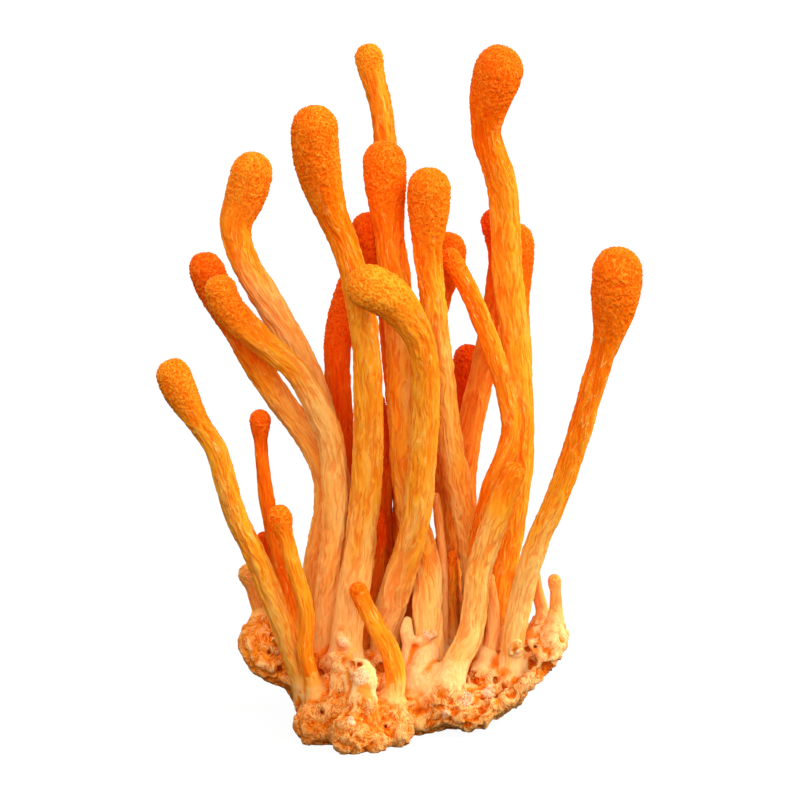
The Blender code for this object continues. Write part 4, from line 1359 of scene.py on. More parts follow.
class Clay:
    """A block of clay on a fine grid, built up from round forms and carved by others.

    The block keeps the distance to its skin at each grid point, below 0 inside.
    """

    FAR = 4.0
    VIEW_DEPTHS = np.arange(0.0, 32.0, 0.1)  # where a line of sight is looked along
    SQUARE = ((0, 0), (1, 0), (1, 1), (0, 1))  # the cells round an edge, in order

    def __init__(self, low: tuple[float, float, float], high: tuple[float, float, float],
                 step: float) -> None:
        """Start with no clay.

        Args:
            low: The block's lowest corner in millimetres.
            high: Its highest corner.
            step: The grid's step.
        """
        self.low, self.step = np.array(low), step
        counts = np.ceil((np.array(high) - self.low) / step).astype(int) + 1
        self.depth = np.full(counts, self.FAR)

    def distance(self, line: np.ndarray, radii: np.ndarray,
                 margin: float) -> tuple[tuple, np.ndarray]:
        """Distance to a round form along a line, on the part of the grid near it.

        Args:
            line: The line's points in millimetres.
            radii: The form's radius at each point.
            margin: How far round the form the grid is read.

        Returns:
            The part of the grid, and the distances there.
        """
        reach = radii.max() + margin
        first = np.maximum(np.floor((line.min(axis=0) - reach - self.low) / self.step), 0)
        last = np.minimum(np.ceil((line.max(axis=0) + reach - self.low) / self.step) + 1,
                          self.depth.shape)
        where = tuple(slice(int(a), int(max(a, b))) for a, b in zip(first, last))
        axes = [self.low[axis] + self.step * np.arange(where[axis].start, where[axis].stop)
                for axis in range(3)]
        spots = np.stack(np.meshgrid(*axes, indexing="ij"), axis=-1)
        found = np.linalg.norm(spots - line[0], axis=-1) - radii[0]
        for start, end, thick, thin in zip(line, line[1:], radii, radii[1:]):
            run = end - start
            share = np.clip((spots - start) @ run / (run @ run), 0.0, 1.0)
            away = np.linalg.norm(spots - start - share[..., None] * run, axis=-1)
            found = np.minimum(found, away - thick - (thin - thick) * share)
        return where, found

    def add(self, line: np.ndarray, radii: np.ndarray, blend: float) -> None:
        """Press a round form on.

        Args:
            line: The points of its middle line in millimetres.
            radii: Its radius at each point.
            blend: Width over which it grows together with what is there.
        """
        where, found = self.distance(line, radii, blend + self.step)
        old = self.depth[where]
        mix = np.clip(0.5 + 0.5 * (old - found) / blend, 0.0, 1.0)
        self.depth[where] = old + (found - old) * mix - blend * mix * (1 - mix)

    def carve(self, place: np.ndarray, radius: float, blend: float) -> None:
        """Scoop a ball out.

        Args:
            place: Its centre in millimetres.
            radius: Its radius.
            blend: Width over which its rim is rounded.
        """
        where, found = self.distance(np.array([place]), np.array([radius]), blend + self.step)
        old = self.depth[where]
        mix = np.clip(0.5 - 0.5 * (old + found) / blend, 0.0, 1.0)
        self.depth[where] = old - (found + old) * mix + blend * mix * (1 - mix)

    def at(self, places: np.ndarray) -> np.ndarray:
        """Distance to the skin at each place, to the nearest grid point.

        Args:
            places: The places in millimetres.

        Returns:
            The distances.
        """
        cells = np.rint((places - self.low) / self.step).astype(int)
        cells = np.clip(cells, 0, np.array(self.depth.shape) - 1)
        return self.depth[tuple(cells.T)]

    def front(self, across: float, up: float) -> np.ndarray:
        """World place where the front view meets the clay.

        Args:
            across: Place across the front view.
            up: Place up the front view.

        Returns:
            The place.
        """
        places = np.array([from_front_view((across, up, depth)) for depth in self.VIEW_DEPTHS])
        return places[np.argmax(self.at(places) < 0.0)]

    def points(self, inside: np.ndarray, cells: np.ndarray) -> np.ndarray:
        """The skin's points, one in each cell that the skin passes through.

        Args:
            inside: Which grid points are in the clay.
            cells: The cells.

        Returns:
            The points in millimetres.
        """
        total, crossings = np.zeros(cells.shape), np.zeros(len(cells))
        for corner in np.ndindex(2, 2, 2):
            for axis in np.flatnonzero(np.array(corner) == 0):
                start = cells + corner
                end = start + np.eye(3, dtype=int)[axis]
                near, far = self.depth[tuple(start.T)], self.depth[tuple(end.T)]
                crossed = inside[tuple(start.T)] != inside[tuple(end.T)]
                share = np.clip(near / np.where(near == far, 1.0, near - far), 0.0, 1.0)
                total[crossed] += np.array(corner) + np.outer(share, np.eye(3)[axis])[crossed]
                crossings += crossed
        return self.low + (cells + total / crossings[:, None]) * self.step

    def faces(self, inside: np.ndarray, number: np.ndarray) -> np.ndarray:
        """The skin's faces, one across each edge of the grid that the skin crosses.

        Args:
            inside: Which grid points are in the clay.
            number: The number of each cell's point.

        Returns:
            The numbers of the four points of each face.
        """
        faces, size = [], np.array(inside.shape) - 1
        for axis in range(3):
            edges = np.argwhere(inside != np.roll(inside, -1, axis))
            others = [other for other in range(3) if other != axis]
            edges = edges[(edges[:, axis] < size[axis]) & (edges[:, others] > 0).all(axis=1)
                          & (edges[:, others] < size[others]).all(axis=1)]
            ring = []
            for aside in self.SQUARE:
                cell = edges.copy()
                cell[:, others] -= aside
                ring.append(number[tuple(cell.T)])
            ring = np.column_stack(ring)
            turned = inside[tuple(edges.T)] == (axis == 1)
            ring[turned] = ring[turned][:, ::-1]
            faces.append(ring)
        return np.concatenate(faces)

    def skin(self) -> tuple[np.ndarray, np.ndarray]:
        """Draw the clay's skin.

        Returns:
            The skin's points, and the four points of each of its faces.
        """
        inside = self.depth < 0
        inside[:, :, 0] = False
        size = np.array(inside.shape) - 1
        full = sum(inside[tuple(slice(c, c + n) for c, n in zip(corner, size))].astype(int)
                   for corner in np.ndindex(2, 2, 2))
        active = (full > 0) & (full < 8)
        number = np.cumsum(active).reshape(active.shape) - 1
        return self.points(inside, np.argwhere(active)), self.faces(inside, number)


# The mat's growths as the photograph shows them
GROWTHS = (
    Growth("column", ((-4.5, 10.3, 5.2, 1.2), (-4.5, 9.0, 4.8, 1.4), (-4.6, 7.7, 4.6, 1.45)),
        smooth=0.85),
    Growth("column_foot", ((-4.6, 7.0, 4.7, 1.45), (-4.5, 5.6, 4.7, 1.55), (-4.0, 4.4, 4.6, 1.4)),
        smooth=0.25),
    Growth("arch_right", ((-6.2, 11.8, 7.2, 0.5), (-5.2, 11.8, 6.5, 0.55), (-4.4, 11.4, 5.8, 0.7),
        (-3.8, 10.5, 5.1, 0.8), (-3.6, 9.2, 4.6, 0.85)), smooth=0.9),
    Growth("arch_left", ((-8.6, 12.5, 9.0, 0.5), (-7.5, 12.6, 8.4, 0.53), (-6.4, 12.5, 7.8, 0.5)),
        smooth=0.5),
    Growth("left_lobe", ((-7.6, 11.2, 8.4, 1.0), (-7.8, 9.8, 8.0, 1.06), (-7.6, 8.1, 7.6, 1.12),
        (-7.2, 6.5, 7.0, 1.25), (-6.8, 4.9, 6.4, 1.38)), smooth=0.4),
    Growth("lobe_web", ((-6.9, 11.0, 7.6, 0.7), (-6.4, 9.0, 6.8, 0.9), (-6.2, 7.0, 6.0, 1.1),
        (-6.0, 5.4, 5.6, 1.2)), smooth=0.5),
    Growth("lobe_back", ((-7.4, 11.8, 12.0, 1.12), (-7.2, 9.8, 11.5, 1.5), (-6.8, 7.6, 10.5, 1.75))),
    Growth("bottom", ((-5.9, 4.2, 5.2, 1.5), (-6.6, 2.9, 5.0, 2.06), (-8.0, 3.6, 6.6, 1.5))),
    Growth("bottom_right", ((-4.9, 1.8, 4.8, 1.12), (-3.2, 1.9, 5.0, 1.25), (-1.8, 2.2, 5.2, 1.25),
        (-0.4, 2.6, 5.4, 1.25), (0.6, 3.1, 6.0, 1.06))),
    Growth("under_small_club", ((-2.0, 4.0, 5.8, 1.12), (-0.4, 4.2, 6.4, 1.12))),
    Growth("lower_left", ((-12.0, 5.0, 6.8, 1.12), (-11.0, 4.4, 6.5, 1.94), (-10.0, 3.4, 6.3, 1.88),
        (-9.1, 5.0, 7.2, 1.25))),
    Growth("strip_left", ((-15.0, 11.0, 13.5, 0.75), (-14.1, 9.8, 13.2, 0.81), (-13.1, 8.5, 13.0, 0.88),
        (-12.2, 7.4, 12.5, 0.88))),
    Growth("small_bud_left", ((-15.6, 14.5, 12.6, 0.56), (-15.5, 13.2, 12.4, 0.62))),
    Growth("knobbly_bud", ((0.9, 16.8, 15.5, 0.6), (0.8, 15.5, 15.2, 0.9), (1.0, 13.9, 15.0, 0.75),
        (0.8, 12.4, 14.8, 0.78), (0.6, 10.9, 14.4, 0.81)), smooth=1.0),
    Growth("bud_link", ((1.8, 14.5, 14.6, 0.5), (2.5, 14.4, 14.2, 0.57), (3.5, 15.0, 14.5, 0.78),
        (4.2, 15.2, 14.5, 0.6)), smooth=1.0),
    Growth("scrap", ((-5.9, 14.4, 12.2, 0.4), (-5.0, 14.2, 11.0, 0.42), (-4.1, 13.8, 10.6, 0.6),
        (-3.5, 12.6, 10.4, 0.47), (-3.1, 11.9, 10.2, 0.23)), smooth=1.0),
    Growth("torn_hem", ((-7.4, 14.5, 13.3, 0.56), (-6.9, 13.8, 13.2, 0.5))),
    Growth("split_block", ((-10.0, 12.4, 12.0, 0.56), (-9.6, 11.5, 11.8, 0.6), (-10.0, 11.0, 11.8, 0.47)),
        smooth=1.0),
    Growth("right_knot", ((14.6, 13.9, 13.4, 0.75), (14.1, 13.0, 13.2, 0.62), (15.0, 12.9, 13.4, 0.62))),
    Growth("stub_foot", ((10.8, 12.6, 15.6, 1.06), (10.5, 11.4, 15.3, 1.0)), smooth=1.0),
    Growth("right_web", ((16.1, 15.2, 16.8, 0.44), (17.0, 15.8, 17.2, 0.38), (17.9, 15.5, 17.5, 0.44)),
        smooth=1.0),
    Growth("right_fold", ((16.5, 14.2, 15.0, 0.5), (17.2, 13.0, 14.4, 0.69), (18.2, 12.2, 14.2, 0.62)),
        smooth=0.6),
    Growth("right_slope", ((20.4, 14.1, 14.5, 0.56), (19.5, 12.5, 14.0, 0.88), (18.2, 11.2, 13.6, 1.0),
        (17.1, 10.1, 13.0, 1.0), (15.8, 8.8, 12.5, 1.06), (14.4, 7.8, 12.0, 1.12),
        (13.1, 6.9, 11.5, 1.12))),
    Growth("low_right", ((11.5, 6.1, 10.5, 1.25), (10.0, 4.9, 9.8, 1.5), (8.8, 4.5, 9.2, 1.5),
        (7.2, 5.0, 9.0, 1.19), (5.9, 5.2, 9.5, 1.12))),
    Growth("low_middle", ((4.5, 4.8, 10.0, 1.12), (3.0, 4.2, 10.0, 1.12), (1.5, 4.0, 9.4, 1.12),
        (0.2, 4.2, 8.0, 1.06))),
    Growth("small_club_left", ((-12.1, 9.2, 11.2, 1.1), (-11.4, 7.8, 10.7, 1.2), (-10.4, 6.4, 10.1, 1.25),
        (-9.4, 5.3, 9.4, 1.25)), smooth=1.0),
    Growth("small_club_front", ((-1.1, 6.8, 8.1, 1.23), (-1.2, 6.0, 7.9, 1.19)), smooth=1.0),
    Growth("centre", ((3.4, 13.0, 15.0, 1.66), (3.0, 11.5, 14.3, 1.81), (2.6, 10.0, 13.6, 2.04),
        (2.4, 8.4, 12.8, 2.25), (2.4, 7.1, 12.2, 2.06)), smooth=1.0),
    Growth("curved", ((5.0, 9.6, 12.2, 1.8), (3.9, 8.6, 12.0, 2.0)), smooth=1.0),
    Growth("between", ((4.8, 10.5, 12.6, 1.15), (5.0, 8.5, 11.8, 1.2)), smooth=1.0),
    Growth("bud_right", ((19.4, 17.0, 16.0, 0.9), (19.4, 15.6, 15.6, 1.12), (19.1, 14.2, 15.0, 1.31)),
        smooth=0.55),
    Growth("thin_right", ((18.2, 17.5, 20.2, 0.72), (18.6, 16.1, 20.2, 0.85)), smooth=1.0),
)

# Torn knots, orange patches and hollows of the mat: (across, up, radius) in the front view
SPOTS = {
    "torn": ((-5, 10.0, 1.15), (3.6, 15.1, 0.7), (-7.1, 14.1, 0.6), (14.9, 12.9, 0.45), (8.2, 7, 1.1),
        (-6, 4.2, 0.6), (11, 8, 0.9), (5.8, 5.2, 0.6)),
    "ember": ((-11, 3.5, 1.12), (-4.1, 7.3, 1.1), (-4.4, 8.3, 1.0), (14.6, 13.5, 1.0), (-5.9, 9.6, 0.7),
        (-3.2, 5, 0.88), (-6.2, 12.5, 1), (-1.5, 3.1, 0.75), (3.8, 4, 0.75), (16.9, 13.2, 0.75),
        (16.2, 15.4, 0.75), (-18.5, 12.6, 1.12), (-17.2, 11.8, 1), (-5, 2.4, 0.75), (-7.5, 13, 0.75),
        (3.9, 14.9, 0.62), (9.5, 7, 0.75), (13.1, 10.4, 0.88), (1.1, 3.6, 0.75), (-8.6, 4.5, 0.62),
        (-19.1, 14.5, 0.62), (-16.5, 14.5, 0.75), (5, 6, 0.62), (14.4, 9.2, 0.75), (-2.5, 4.9, 0.62),
        (-12.5, 7, 0.62), (12.2, 7, 0.62), (18.5, 13.2, 0.5), (-9.4, 5.5, 0.62)),
    "hollow": ((-5.7, 11.2, 0.8), (-5.2, 11.5, 0.5), (14.4, 13.1, 0.3), (15.1, 13.4, 0.2),
        (-7.5, 7.8, 0.5), (11.9, 11.9, 0.75), (9.5, 9.5, 0.56), (12, 9.4, 0.56), (10.8, 6.2, 0.44),
        (7.6, 6.8, 0.25), (7.9, 8.6, 0.38), (7.1, 5.9, 0.38), (4.9, 5.9, 0.5), (6.4, 4.4, 0.38),
        (17, 13.8, 0.5), (-9.9, 5.6, 0.5), (-3, 8.2, 0.5), (-11.5, 6.4, 0.25), (13.8, 8.2, 0.5),
        (-18.4, 14.4, 0.2), (-18.1, 13.5, 0.2), (-17.8, 16.8, 0.2), (-16.1, 15, 0.3), (-16.4, 13, 0.3),
        (-14.9, 10.8, 0.35), (10.1, 3.6, 0.31), (-9.9, 10.4, 0.62), (-2.2, 11, 0.75), (-10, 12.5, 0.5),
        (15.6, 12.6, 0.44), (-6.1, 3.9, 0.25), (12.9, 10.2, 0.38), (-1.8, 3.5, 0.38), (-14.1, 10.2, 0.38),
        (-12.5, 7.9, 0.19), (18, 15.2, 0.19), (18.8, 14.2, 0.15)),
}


@dataclass
class Mat:
    """The lumpy, pitted mat that the clubs grow from.

    The lumps are (x, y, z, radius) in millimetres, and so are the lengths. A collar
    reaches up a club as far as the reach. Smooth flesh starts at the foot and ends at the
    shoulder of a club, as distances from its root.
    """

    name: str = "mycelium_mat"
    grid: float = 0.23
    low: tuple = (-22.0, -12.6, -0.9)
    high: tuple = (22.6, 24.0, 18.0)
    reach: float = 6.5
    foot: float = 2.2
    shoulder: float = 10.0
    lump_blend: float = 1.6
    growth_blend: float = 0.55
    collar_blend: float = 1.0
    pit_spacing: float = 1.15
    pit_seed: int = 11
    least_pit: float = 0.12
    least_wall: float = 0.2
    smooth_rim: float = 0.8
    blush_rim: float = 1.3
    calming: int = 14

    FLARE, LEAST_FLARE, FLARE_SUNK = 0.4, 0.2, 0.1  # a share of the foot's radius, and lengths
    # A hollow's balls: how far in they lie, how they drift aside, and how they get smaller
    INWARDS, DRIFT, MOUTH, NARROWING = (0.0, 0.5, 1.0), 0.45, 0.95, 0.35
    HOLLOW_DEPTH, HOLLOW_LIP = 2.2, 0.2
    # Small pits: how deep they start, how many there are and their radii
    PIT_FLOOR, PIT_TOP, WEB_TOP, PIT_COLLAR = -0.3, 0.2, 0.3, 0.3
    PIT_CHANCE, WEB_CHANCE = 0.1, 0.45
    PIT_RADIUS, PIT_GROWTH, WEB_RADIUS, WEB_GROWTH = 0.2, 0.22, 0.2, 0.35
    CLUB_BALLS = (-1.0, 9.0, 2)  # where the clubs keep pits away
    WEB_START, WEB_WIDTH = 3.0, 3.0  # the webbed right end
    BLUSH_START, BLUSH_WIDTH = 1.5, 3.5
    FAR_AWAY = 9.0
    BALL_EVERY = 4  # the balls of smooth flesh follow every fourth ring
    BALL_EDGE, SPOT_EDGE = 1.15, 1.35  # how full a ball and a spot are inside
    # The relief's rolls, small slanting creases and shreds: fineness and crease width
    WANDER, STRETCH = (0.35, 2.0, MIDDLE, 3.0), (1.0, 1.0, 0.7)
    ROLLS, SMALL, SHREDS = (0.42, 0.2), (1.0, 0.16), (1.5, 0.12)
    SLANT, SLANT_STRETCH = math.radians(-32.0), (0.5, 1.0, 1.35)
    CREASE_PATTERN, CREASE_CURVE, ROLL_LEVEL = (1.0, 0.5, 0.4), 0.6, 0.6
    CALM_COLLAR = 0.85  # share of the relief that smooth flesh loses
    # The fibres: where they grow, how they lean, their length, and their curve's points
    TORN_EDGE, LEAN, LENGTHS = (0.2, 0.8), (0.2, 0.2, math.pi), (0.5, 1.2)
    HAIR = {"Start": (0.0, 0.0, -0.1), "Middle": (0.5, 0.0, 0.4), "End": (1.0, 0.3, 0.1)}
    HAIR_STEPS, HAIR_SIDES, HAIR_TAPER, FIBRE_TINT = 6, 4, (0.3, 1.0, 1.0, 0.25), 0.8

    lumps: tuple = (
        (-10.5, -5.0, 2.2, 2.8), (-6.2, -9.5, 2.0, 2.6), (-2.9, -9.0, 1.0, 1.5), (-0.5, -6.5, 1.5, 2.0),
        (-6.5, -5.0, 3.2, 3.6), (-4.6, -7.8, 6.0, 1.8), (-4.9, -6.0, 9.0, 1.5), (-2.0, -3.6, 2.6, 3.4),
        (-7.6, 0.6, 3.6, 4.2), (-2.6, 0.5, 3.0, 4.2), (2.4, 1.0, 2.6, 3.6), (5.4, 2.4, 3.2, 3.6),
        (9.1, 0.9, 2.6, 2.9), (10.6, 4.4, 4.2, 3.9), (13.6, 5.8, 5.9, 3.1), (-9.6, 6.4, 4.4, 4.4),
        (-4.6, 7.0, 4.0, 4.6), (0.4, 7.0, 3.8, 4.6), (5.4, 7.6, 4.0, 4.6), (10.0, 9.0, 4.2, 4.4),
        (-10.2, 11.2, 4.4, 4.0), (-6.0, 13.2, 4.0, 4.6), (-1.0, 13.6, 3.8, 4.6), (4.4, 14.0, 3.8, 4.6),
        (9.2, 14.2, 3.8, 4.2), (12.8, 11.0, 5.2, 3.4), (-6.0, 17.2, 2.6, 3.4), (1.4, 17.8, 2.6, 3.2),
        (6.0, 18.6, 2.6, 3.2), (12.2, 15.0, 4.4, 3.0), (-5.0, 1.0, 0.5, 4.0), (0.0, 1.5, 0.5, 4.2),
        (4.6, 5.0, 0.5, 3.8), (-5.0, 7.0, 0.5, 4.4), (0.5, 8.0, 0.5, 4.4), (6.0, 11.0, 0.5, 4.2),
        (-4.0, 13.0, 0.5, 4.2), (1.5, 14.5, 0.5, 4.0), (-8.5, 10.0, 0.5, 3.4), (9.0, 8.5, 0.5, 3.4),
        (-4.5, -5.5, 0.4, 3.0), (6.5, 16.0, 0.5, 3.0), (-13.6, 3.2, 6.8, 2.4), (-14.8, 5.6, 8.6, 2.9),
        (-16.4, 2.6, 8.4, 2.5), (-17.8, 3.4, 10.4, 2.4), (-17.0, 4.6, 11.9, 2.3), (-15.4, 7.6, 10.0, 2.5),
        (16.0, 5.6, 7.8, 2.6), (17.8, 5.6, 9.7, 2.1), (19.2, 4.4, 10.7, 1.8), (18.3, 8.4, 10.3, 2.5),
    )

    def mould(self) -> Clay:
        """Press the lumps, the clubs' collars and the growths together.

        Returns:
            The mat's clay, without pits.
        """
        clay = Clay(self.low, self.high, self.grid)
        for *centre, radius in self.lumps:
            clay.add(np.array([centre]), np.array([radius]), self.lump_blend)
        for club in CLUBS:
            clay.add(*self.collar(club), self.collar_blend)
        for growth in GROWTHS:
            clay.add(*growth.line(), self.growth_blend)
        return clay

    def collar(self, club: Club) -> tuple[np.ndarray, np.ndarray]:
        """The spreading foot of one club.

        Args:
            club: The club.

        Returns:
            The points of its middle line in world millimetres, and its radii.
        """
        centres, radii, distances, _ = club.spine()
        spread = (self.FLARE * club.foot + self.LEAST_FLARE) * club.spread
        low = np.flatnonzero(distances < self.reach)[::3]
        flare = spread * (1 - distances[low] / self.reach) ** 2 - self.FLARE_SUNK
        return centres[low], radii[low] + flare

    def sink(self, clay: Clay, spots: list[Ball], clubs: list[Ball],
             chance: np.random.Generator) -> None:
        """Sink the hollows that the photograph shows, each as three balls going inwards.

        Args:
            clay: The mat's clay.
            spots: World place and radius of each hollow.
            clubs: The balls that fill the clubs.
            chance: The source of random numbers.
        """
        back = from_front_view((0.0, 0.0, 1.0)) - from_front_view((0.0, 0.0, 0.0))
        for place, radius in spots:
            for share in self.INWARDS:
                aside = chance.uniform(-self.DRIFT, self.DRIFT, 3) * radius
                size = radius * (self.MOUTH - self.NARROWING * share)
                ball = place + aside + back * radius * (
                    share * self.HOLLOW_DEPTH - self.HOLLOW_LIP)
                size = min(size, self.gap(np.array([ball]), clubs)[0] - self.least_wall)
                if size > self.least_pit:
                    clay.carve(ball, size, self.least_wall)

    def pit(self, clay: Clay, spots: list[Ball]) -> None:
        """Sink the photograph's hollows and scatter small pits between them.

        Args:
            clay: The mat's clay.
            spots: World place and radius of each hollow.
        """
        chance = np.random.default_rng(self.pit_seed)
        clubs = self.balls(*self.CLUB_BALLS)
        self.sink(clay, spots, clubs, chance)
        axes = [np.arange(low, high, self.pit_spacing) for low, high in zip(self.low, self.high)]
        places = np.stack(np.meshgrid(*axes, indexing="ij"), axis=-1).reshape(-1, 3)
        places += chance.uniform(-0.5, 0.5, places.shape) * self.pit_spacing
        sizes = chance.uniform(0.0, 1.0, len(places))
        depth = clay.at(places)
        webbed = self.webbed(places)
        wanted = (depth > self.PIT_FLOOR) & (depth < self.PIT_TOP + self.WEB_TOP * webbed)
        wanted &= self.closeness(places) < self.PIT_COLLAR
        chances = self.PIT_CHANCE + self.WEB_CHANCE * webbed
        wanted &= chance.uniform(0.0, 1.0, len(places)) < chances
        radii = self.PIT_RADIUS + self.PIT_GROWTH * sizes ** 2 + webbed * (
            self.WEB_RADIUS + self.WEB_GROWTH * sizes)
        radii = np.minimum(radii[wanted], self.gap(places[wanted], clubs) - self.least_wall)
        for place, radius in zip(places[wanted], radii):
            if radius > self.least_pit:
                clay.carve(place, radius, self.least_pit)

    def balls(self, start: float, end: float, every: int) -> list[Ball]:
        """The balls that fill the clubs between two distances from their roots.

        Args:
            start: The first distance.
            end: The second distance.
            every: Which of the rings give a ball.

        Returns:
            Centre and radius of each ball.
        """
        found = []
        for club in CLUBS:
            centres, radii, distances, _ = club.spine()
            near = (distances > start) & (distances < end)
            found += list(zip(centres[near][::every], radii[near][::every]))
        return found

    def gap(self, places: np.ndarray, balls: list[Ball]) -> np.ndarray:
        """Distance from each place to the nearest of some balls.

        Args:
            places: The places.
            balls: Centre and radius of each ball.

        Returns:
            The distances, up to that of places far away.
        """
        nearest = np.full(len(places), self.FAR_AWAY)
        for centre, radius in balls:
            nearest = np.minimum(nearest, np.linalg.norm(places - centre, axis=1) - radius)
        return nearest

    def webbed(self, places: np.ndarray) -> np.ndarray:
        """How webbed and holed the mat is at each place: most at its right end."""
        return np.clip((places[:, 0] - self.WEB_START) / self.WEB_WIDTH, 0.0, 1.0)

    def closeness(self, places: np.ndarray) -> np.ndarray:
        """How close each place is to smooth flesh.

        Args:
            places: The places.

        Returns:
            The closeness of each, from 0 to 1.
        """
        balls = [(*ball, 1.0)
                 for ball in self.balls(self.foot, self.shoulder, self.BALL_EVERY)]
        for growth in GROWTHS:
            if growth.smooth:
                line, radii = growth.line()
                for share in np.linspace(0.0, len(line) - 1.0, 4 * len(line)):
                    centre = np.array([np.interp(share, range(len(line)), line[:, axis])
                                       for axis in range(3)])
                    balls.append((centre, np.interp(share, range(len(line)), radii),
                                  growth.smooth))
        return self.nearness(places, balls, self.smooth_rim)

    def blush(self, places: np.ndarray) -> np.ndarray:
        """How much of the clubs' orange runs down into the mat.

        Args:
            places: The places.

        Returns:
            The share of orange at each, from 0 to 1.
        """
        balls = []
        for club in CLUBS:
            centres, radii, distances, _ = club.spine()
            near = (distances > self.foot) & (distances < self.shoulder)
            share = club.blush * np.clip(
                (distances - self.BLUSH_START) / self.BLUSH_WIDTH, 0.0, 1.0)
            balls += list(zip(*(values[near][::self.BALL_EVERY]
                                for values in (centres, radii, share))))
        return self.nearness(places, balls, self.blush_rim)

    def nearness(self, places: np.ndarray, balls: list[tuple[np.ndarray, float, float]],
                 reach: float) -> np.ndarray:
        """How near each place is to some balls, each with its own share.

        Args:
            places: The places.
            balls: Centre, radius and share of each ball.
            reach: How far out from a ball it still counts.

        Returns:
            The nearness of each place, from 0 to 1.
        """
        found = np.zeros(len(places))
        for centre, radius, share in balls:
            away = np.linalg.norm(places - centre, axis=1) - radius
            near = np.clip(self.BALL_EDGE - away / reach, 0.0, 1.0)
            found = np.maximum(found, share * near * near * (3 - 2 * near))
        return found

    def mask(self, places: np.ndarray, spots: list[Ball]) -> np.ndarray:
        """How much of a kind of spot there is at each place.

        Args:
            places: The places.
            spots: Place and radius of each spot.

        Returns:
            The mask's values, from 0 to 1.
        """
        found = np.zeros(len(places))
        for place, radius in spots:
            away = np.linalg.norm(places - place, axis=1)
            share = np.clip(self.SPOT_EDGE - away / radius, 0.0, 1.0)
            found = np.maximum(found, share * share * (3 - 2 * share))
        return found

    def build(self) -> Item:
        """Make the mat's mesh.

        Returns:
            The mat's object.
        """
        clay = self.mould()
        spots = {kind: [(clay.front(across, up), radius) for across, up, radius in places]
                 for kind, places in SPOTS.items()}
        self.pit(clay, spots["hollow"])
        places, faces = clay.skin()
        marks = {kind: self.mask(places, found) for kind, found in spots.items()}
        marks |= {"collar": self.closeness(places), "blush": self.blush(places)}
        item = new_piece(self.name, places, [], faces.tolist(), marks)
        set_tree(item, self.relief_tree(), {"Finish": mat_material(MAT)})
        made_plain(item)
        self.note_proudness(item.data)
        self.cut(item.data)
        set_tree(item, self.fibre_tree(), {"Finish": item.data.materials[0]})
        return made_plain(item)

    def note_proudness(self, mesh: bpy.types.Mesh) -> None:
        """Note on each point how far it stands proud of what is round it, which places the painted
        highlight on proud places and the painted shade in creases.

        Args:
            mesh: The mat's mesh.
        """
        count = len(mesh.vertices)
        places, normals = np.empty(count * 3), np.empty(count * 3)
        mesh.vertices.foreach_get("co", places)
        mesh.vertices.foreach_get("normal", normals)
        places, normals = places.reshape(-1, 3) / MM, normals.reshape(-1, 3)
        edges = np.empty(len(mesh.edges) * 2, dtype=np.int64)
        mesh.edges.foreach_get("vertices", edges)
        start, end = edges.reshape(-1, 2).T
        ends = np.concatenate((start, end)), np.concatenate((end, start))
        links = np.maximum(np.bincount(ends[0], minlength=count), 1)
        calm = places.copy()
        for _ in range(self.calming):
            calm = np.column_stack([
                np.bincount(ends[0], weights=calm[ends[1], axis], minlength=count) / links
                for axis in range(3)])
        mark_points(mesh, "proud", ((places - calm) * normals).sum(axis=1))

    def cut(self, mesh: bpy.types.Mesh) -> None:
        """Cut the mesh flat where the mat stands, and drop its loose crumbs.

        Args:
            mesh: The mat's mesh.
        """
        work = bmesh.new()
        work.from_mesh(mesh)
        bmesh.ops.delete(work, geom=self.strays(work), context="VERTS")
        everything = work.verts[:] + work.edges[:] + work.faces[:]
        bmesh.ops.bisect_plane(work, geom=everything, plane_co=(0, 0, 0),
                               plane_no=(0, 0, 1), clear_inner=True)
        rim = [edge for edge in work.edges if edge.is_boundary]
        bmesh.ops.triangle_fill(work, edges=rim, use_beauty=True)
        bmesh.ops.recalc_face_normals(work, faces=work.faces)
        work.to_mesh(mesh)
        work.free()

    def strays(self, work: bmesh.types.BMesh) -> list[bmesh.types.BMVert]:
        """Find what isn't joined to the mat's largest part.

        Args:
            work: The mat's mesh.

        Returns:
            The corners of the loose parts.
        """
        left, parts = set(work.verts), []
        while left:
            part, waiting = set(), [next(iter(left))]
            while waiting:
                corner = waiting.pop()
                if corner not in part:
                    part.add(corner)
                    waiting += [edge.other_vert(corner) for edge in corner.link_edges]
            left -= part
            parts.append(part)
        parts.sort(key=len)
        return [corner for part in parts[:-1] for corner in part]

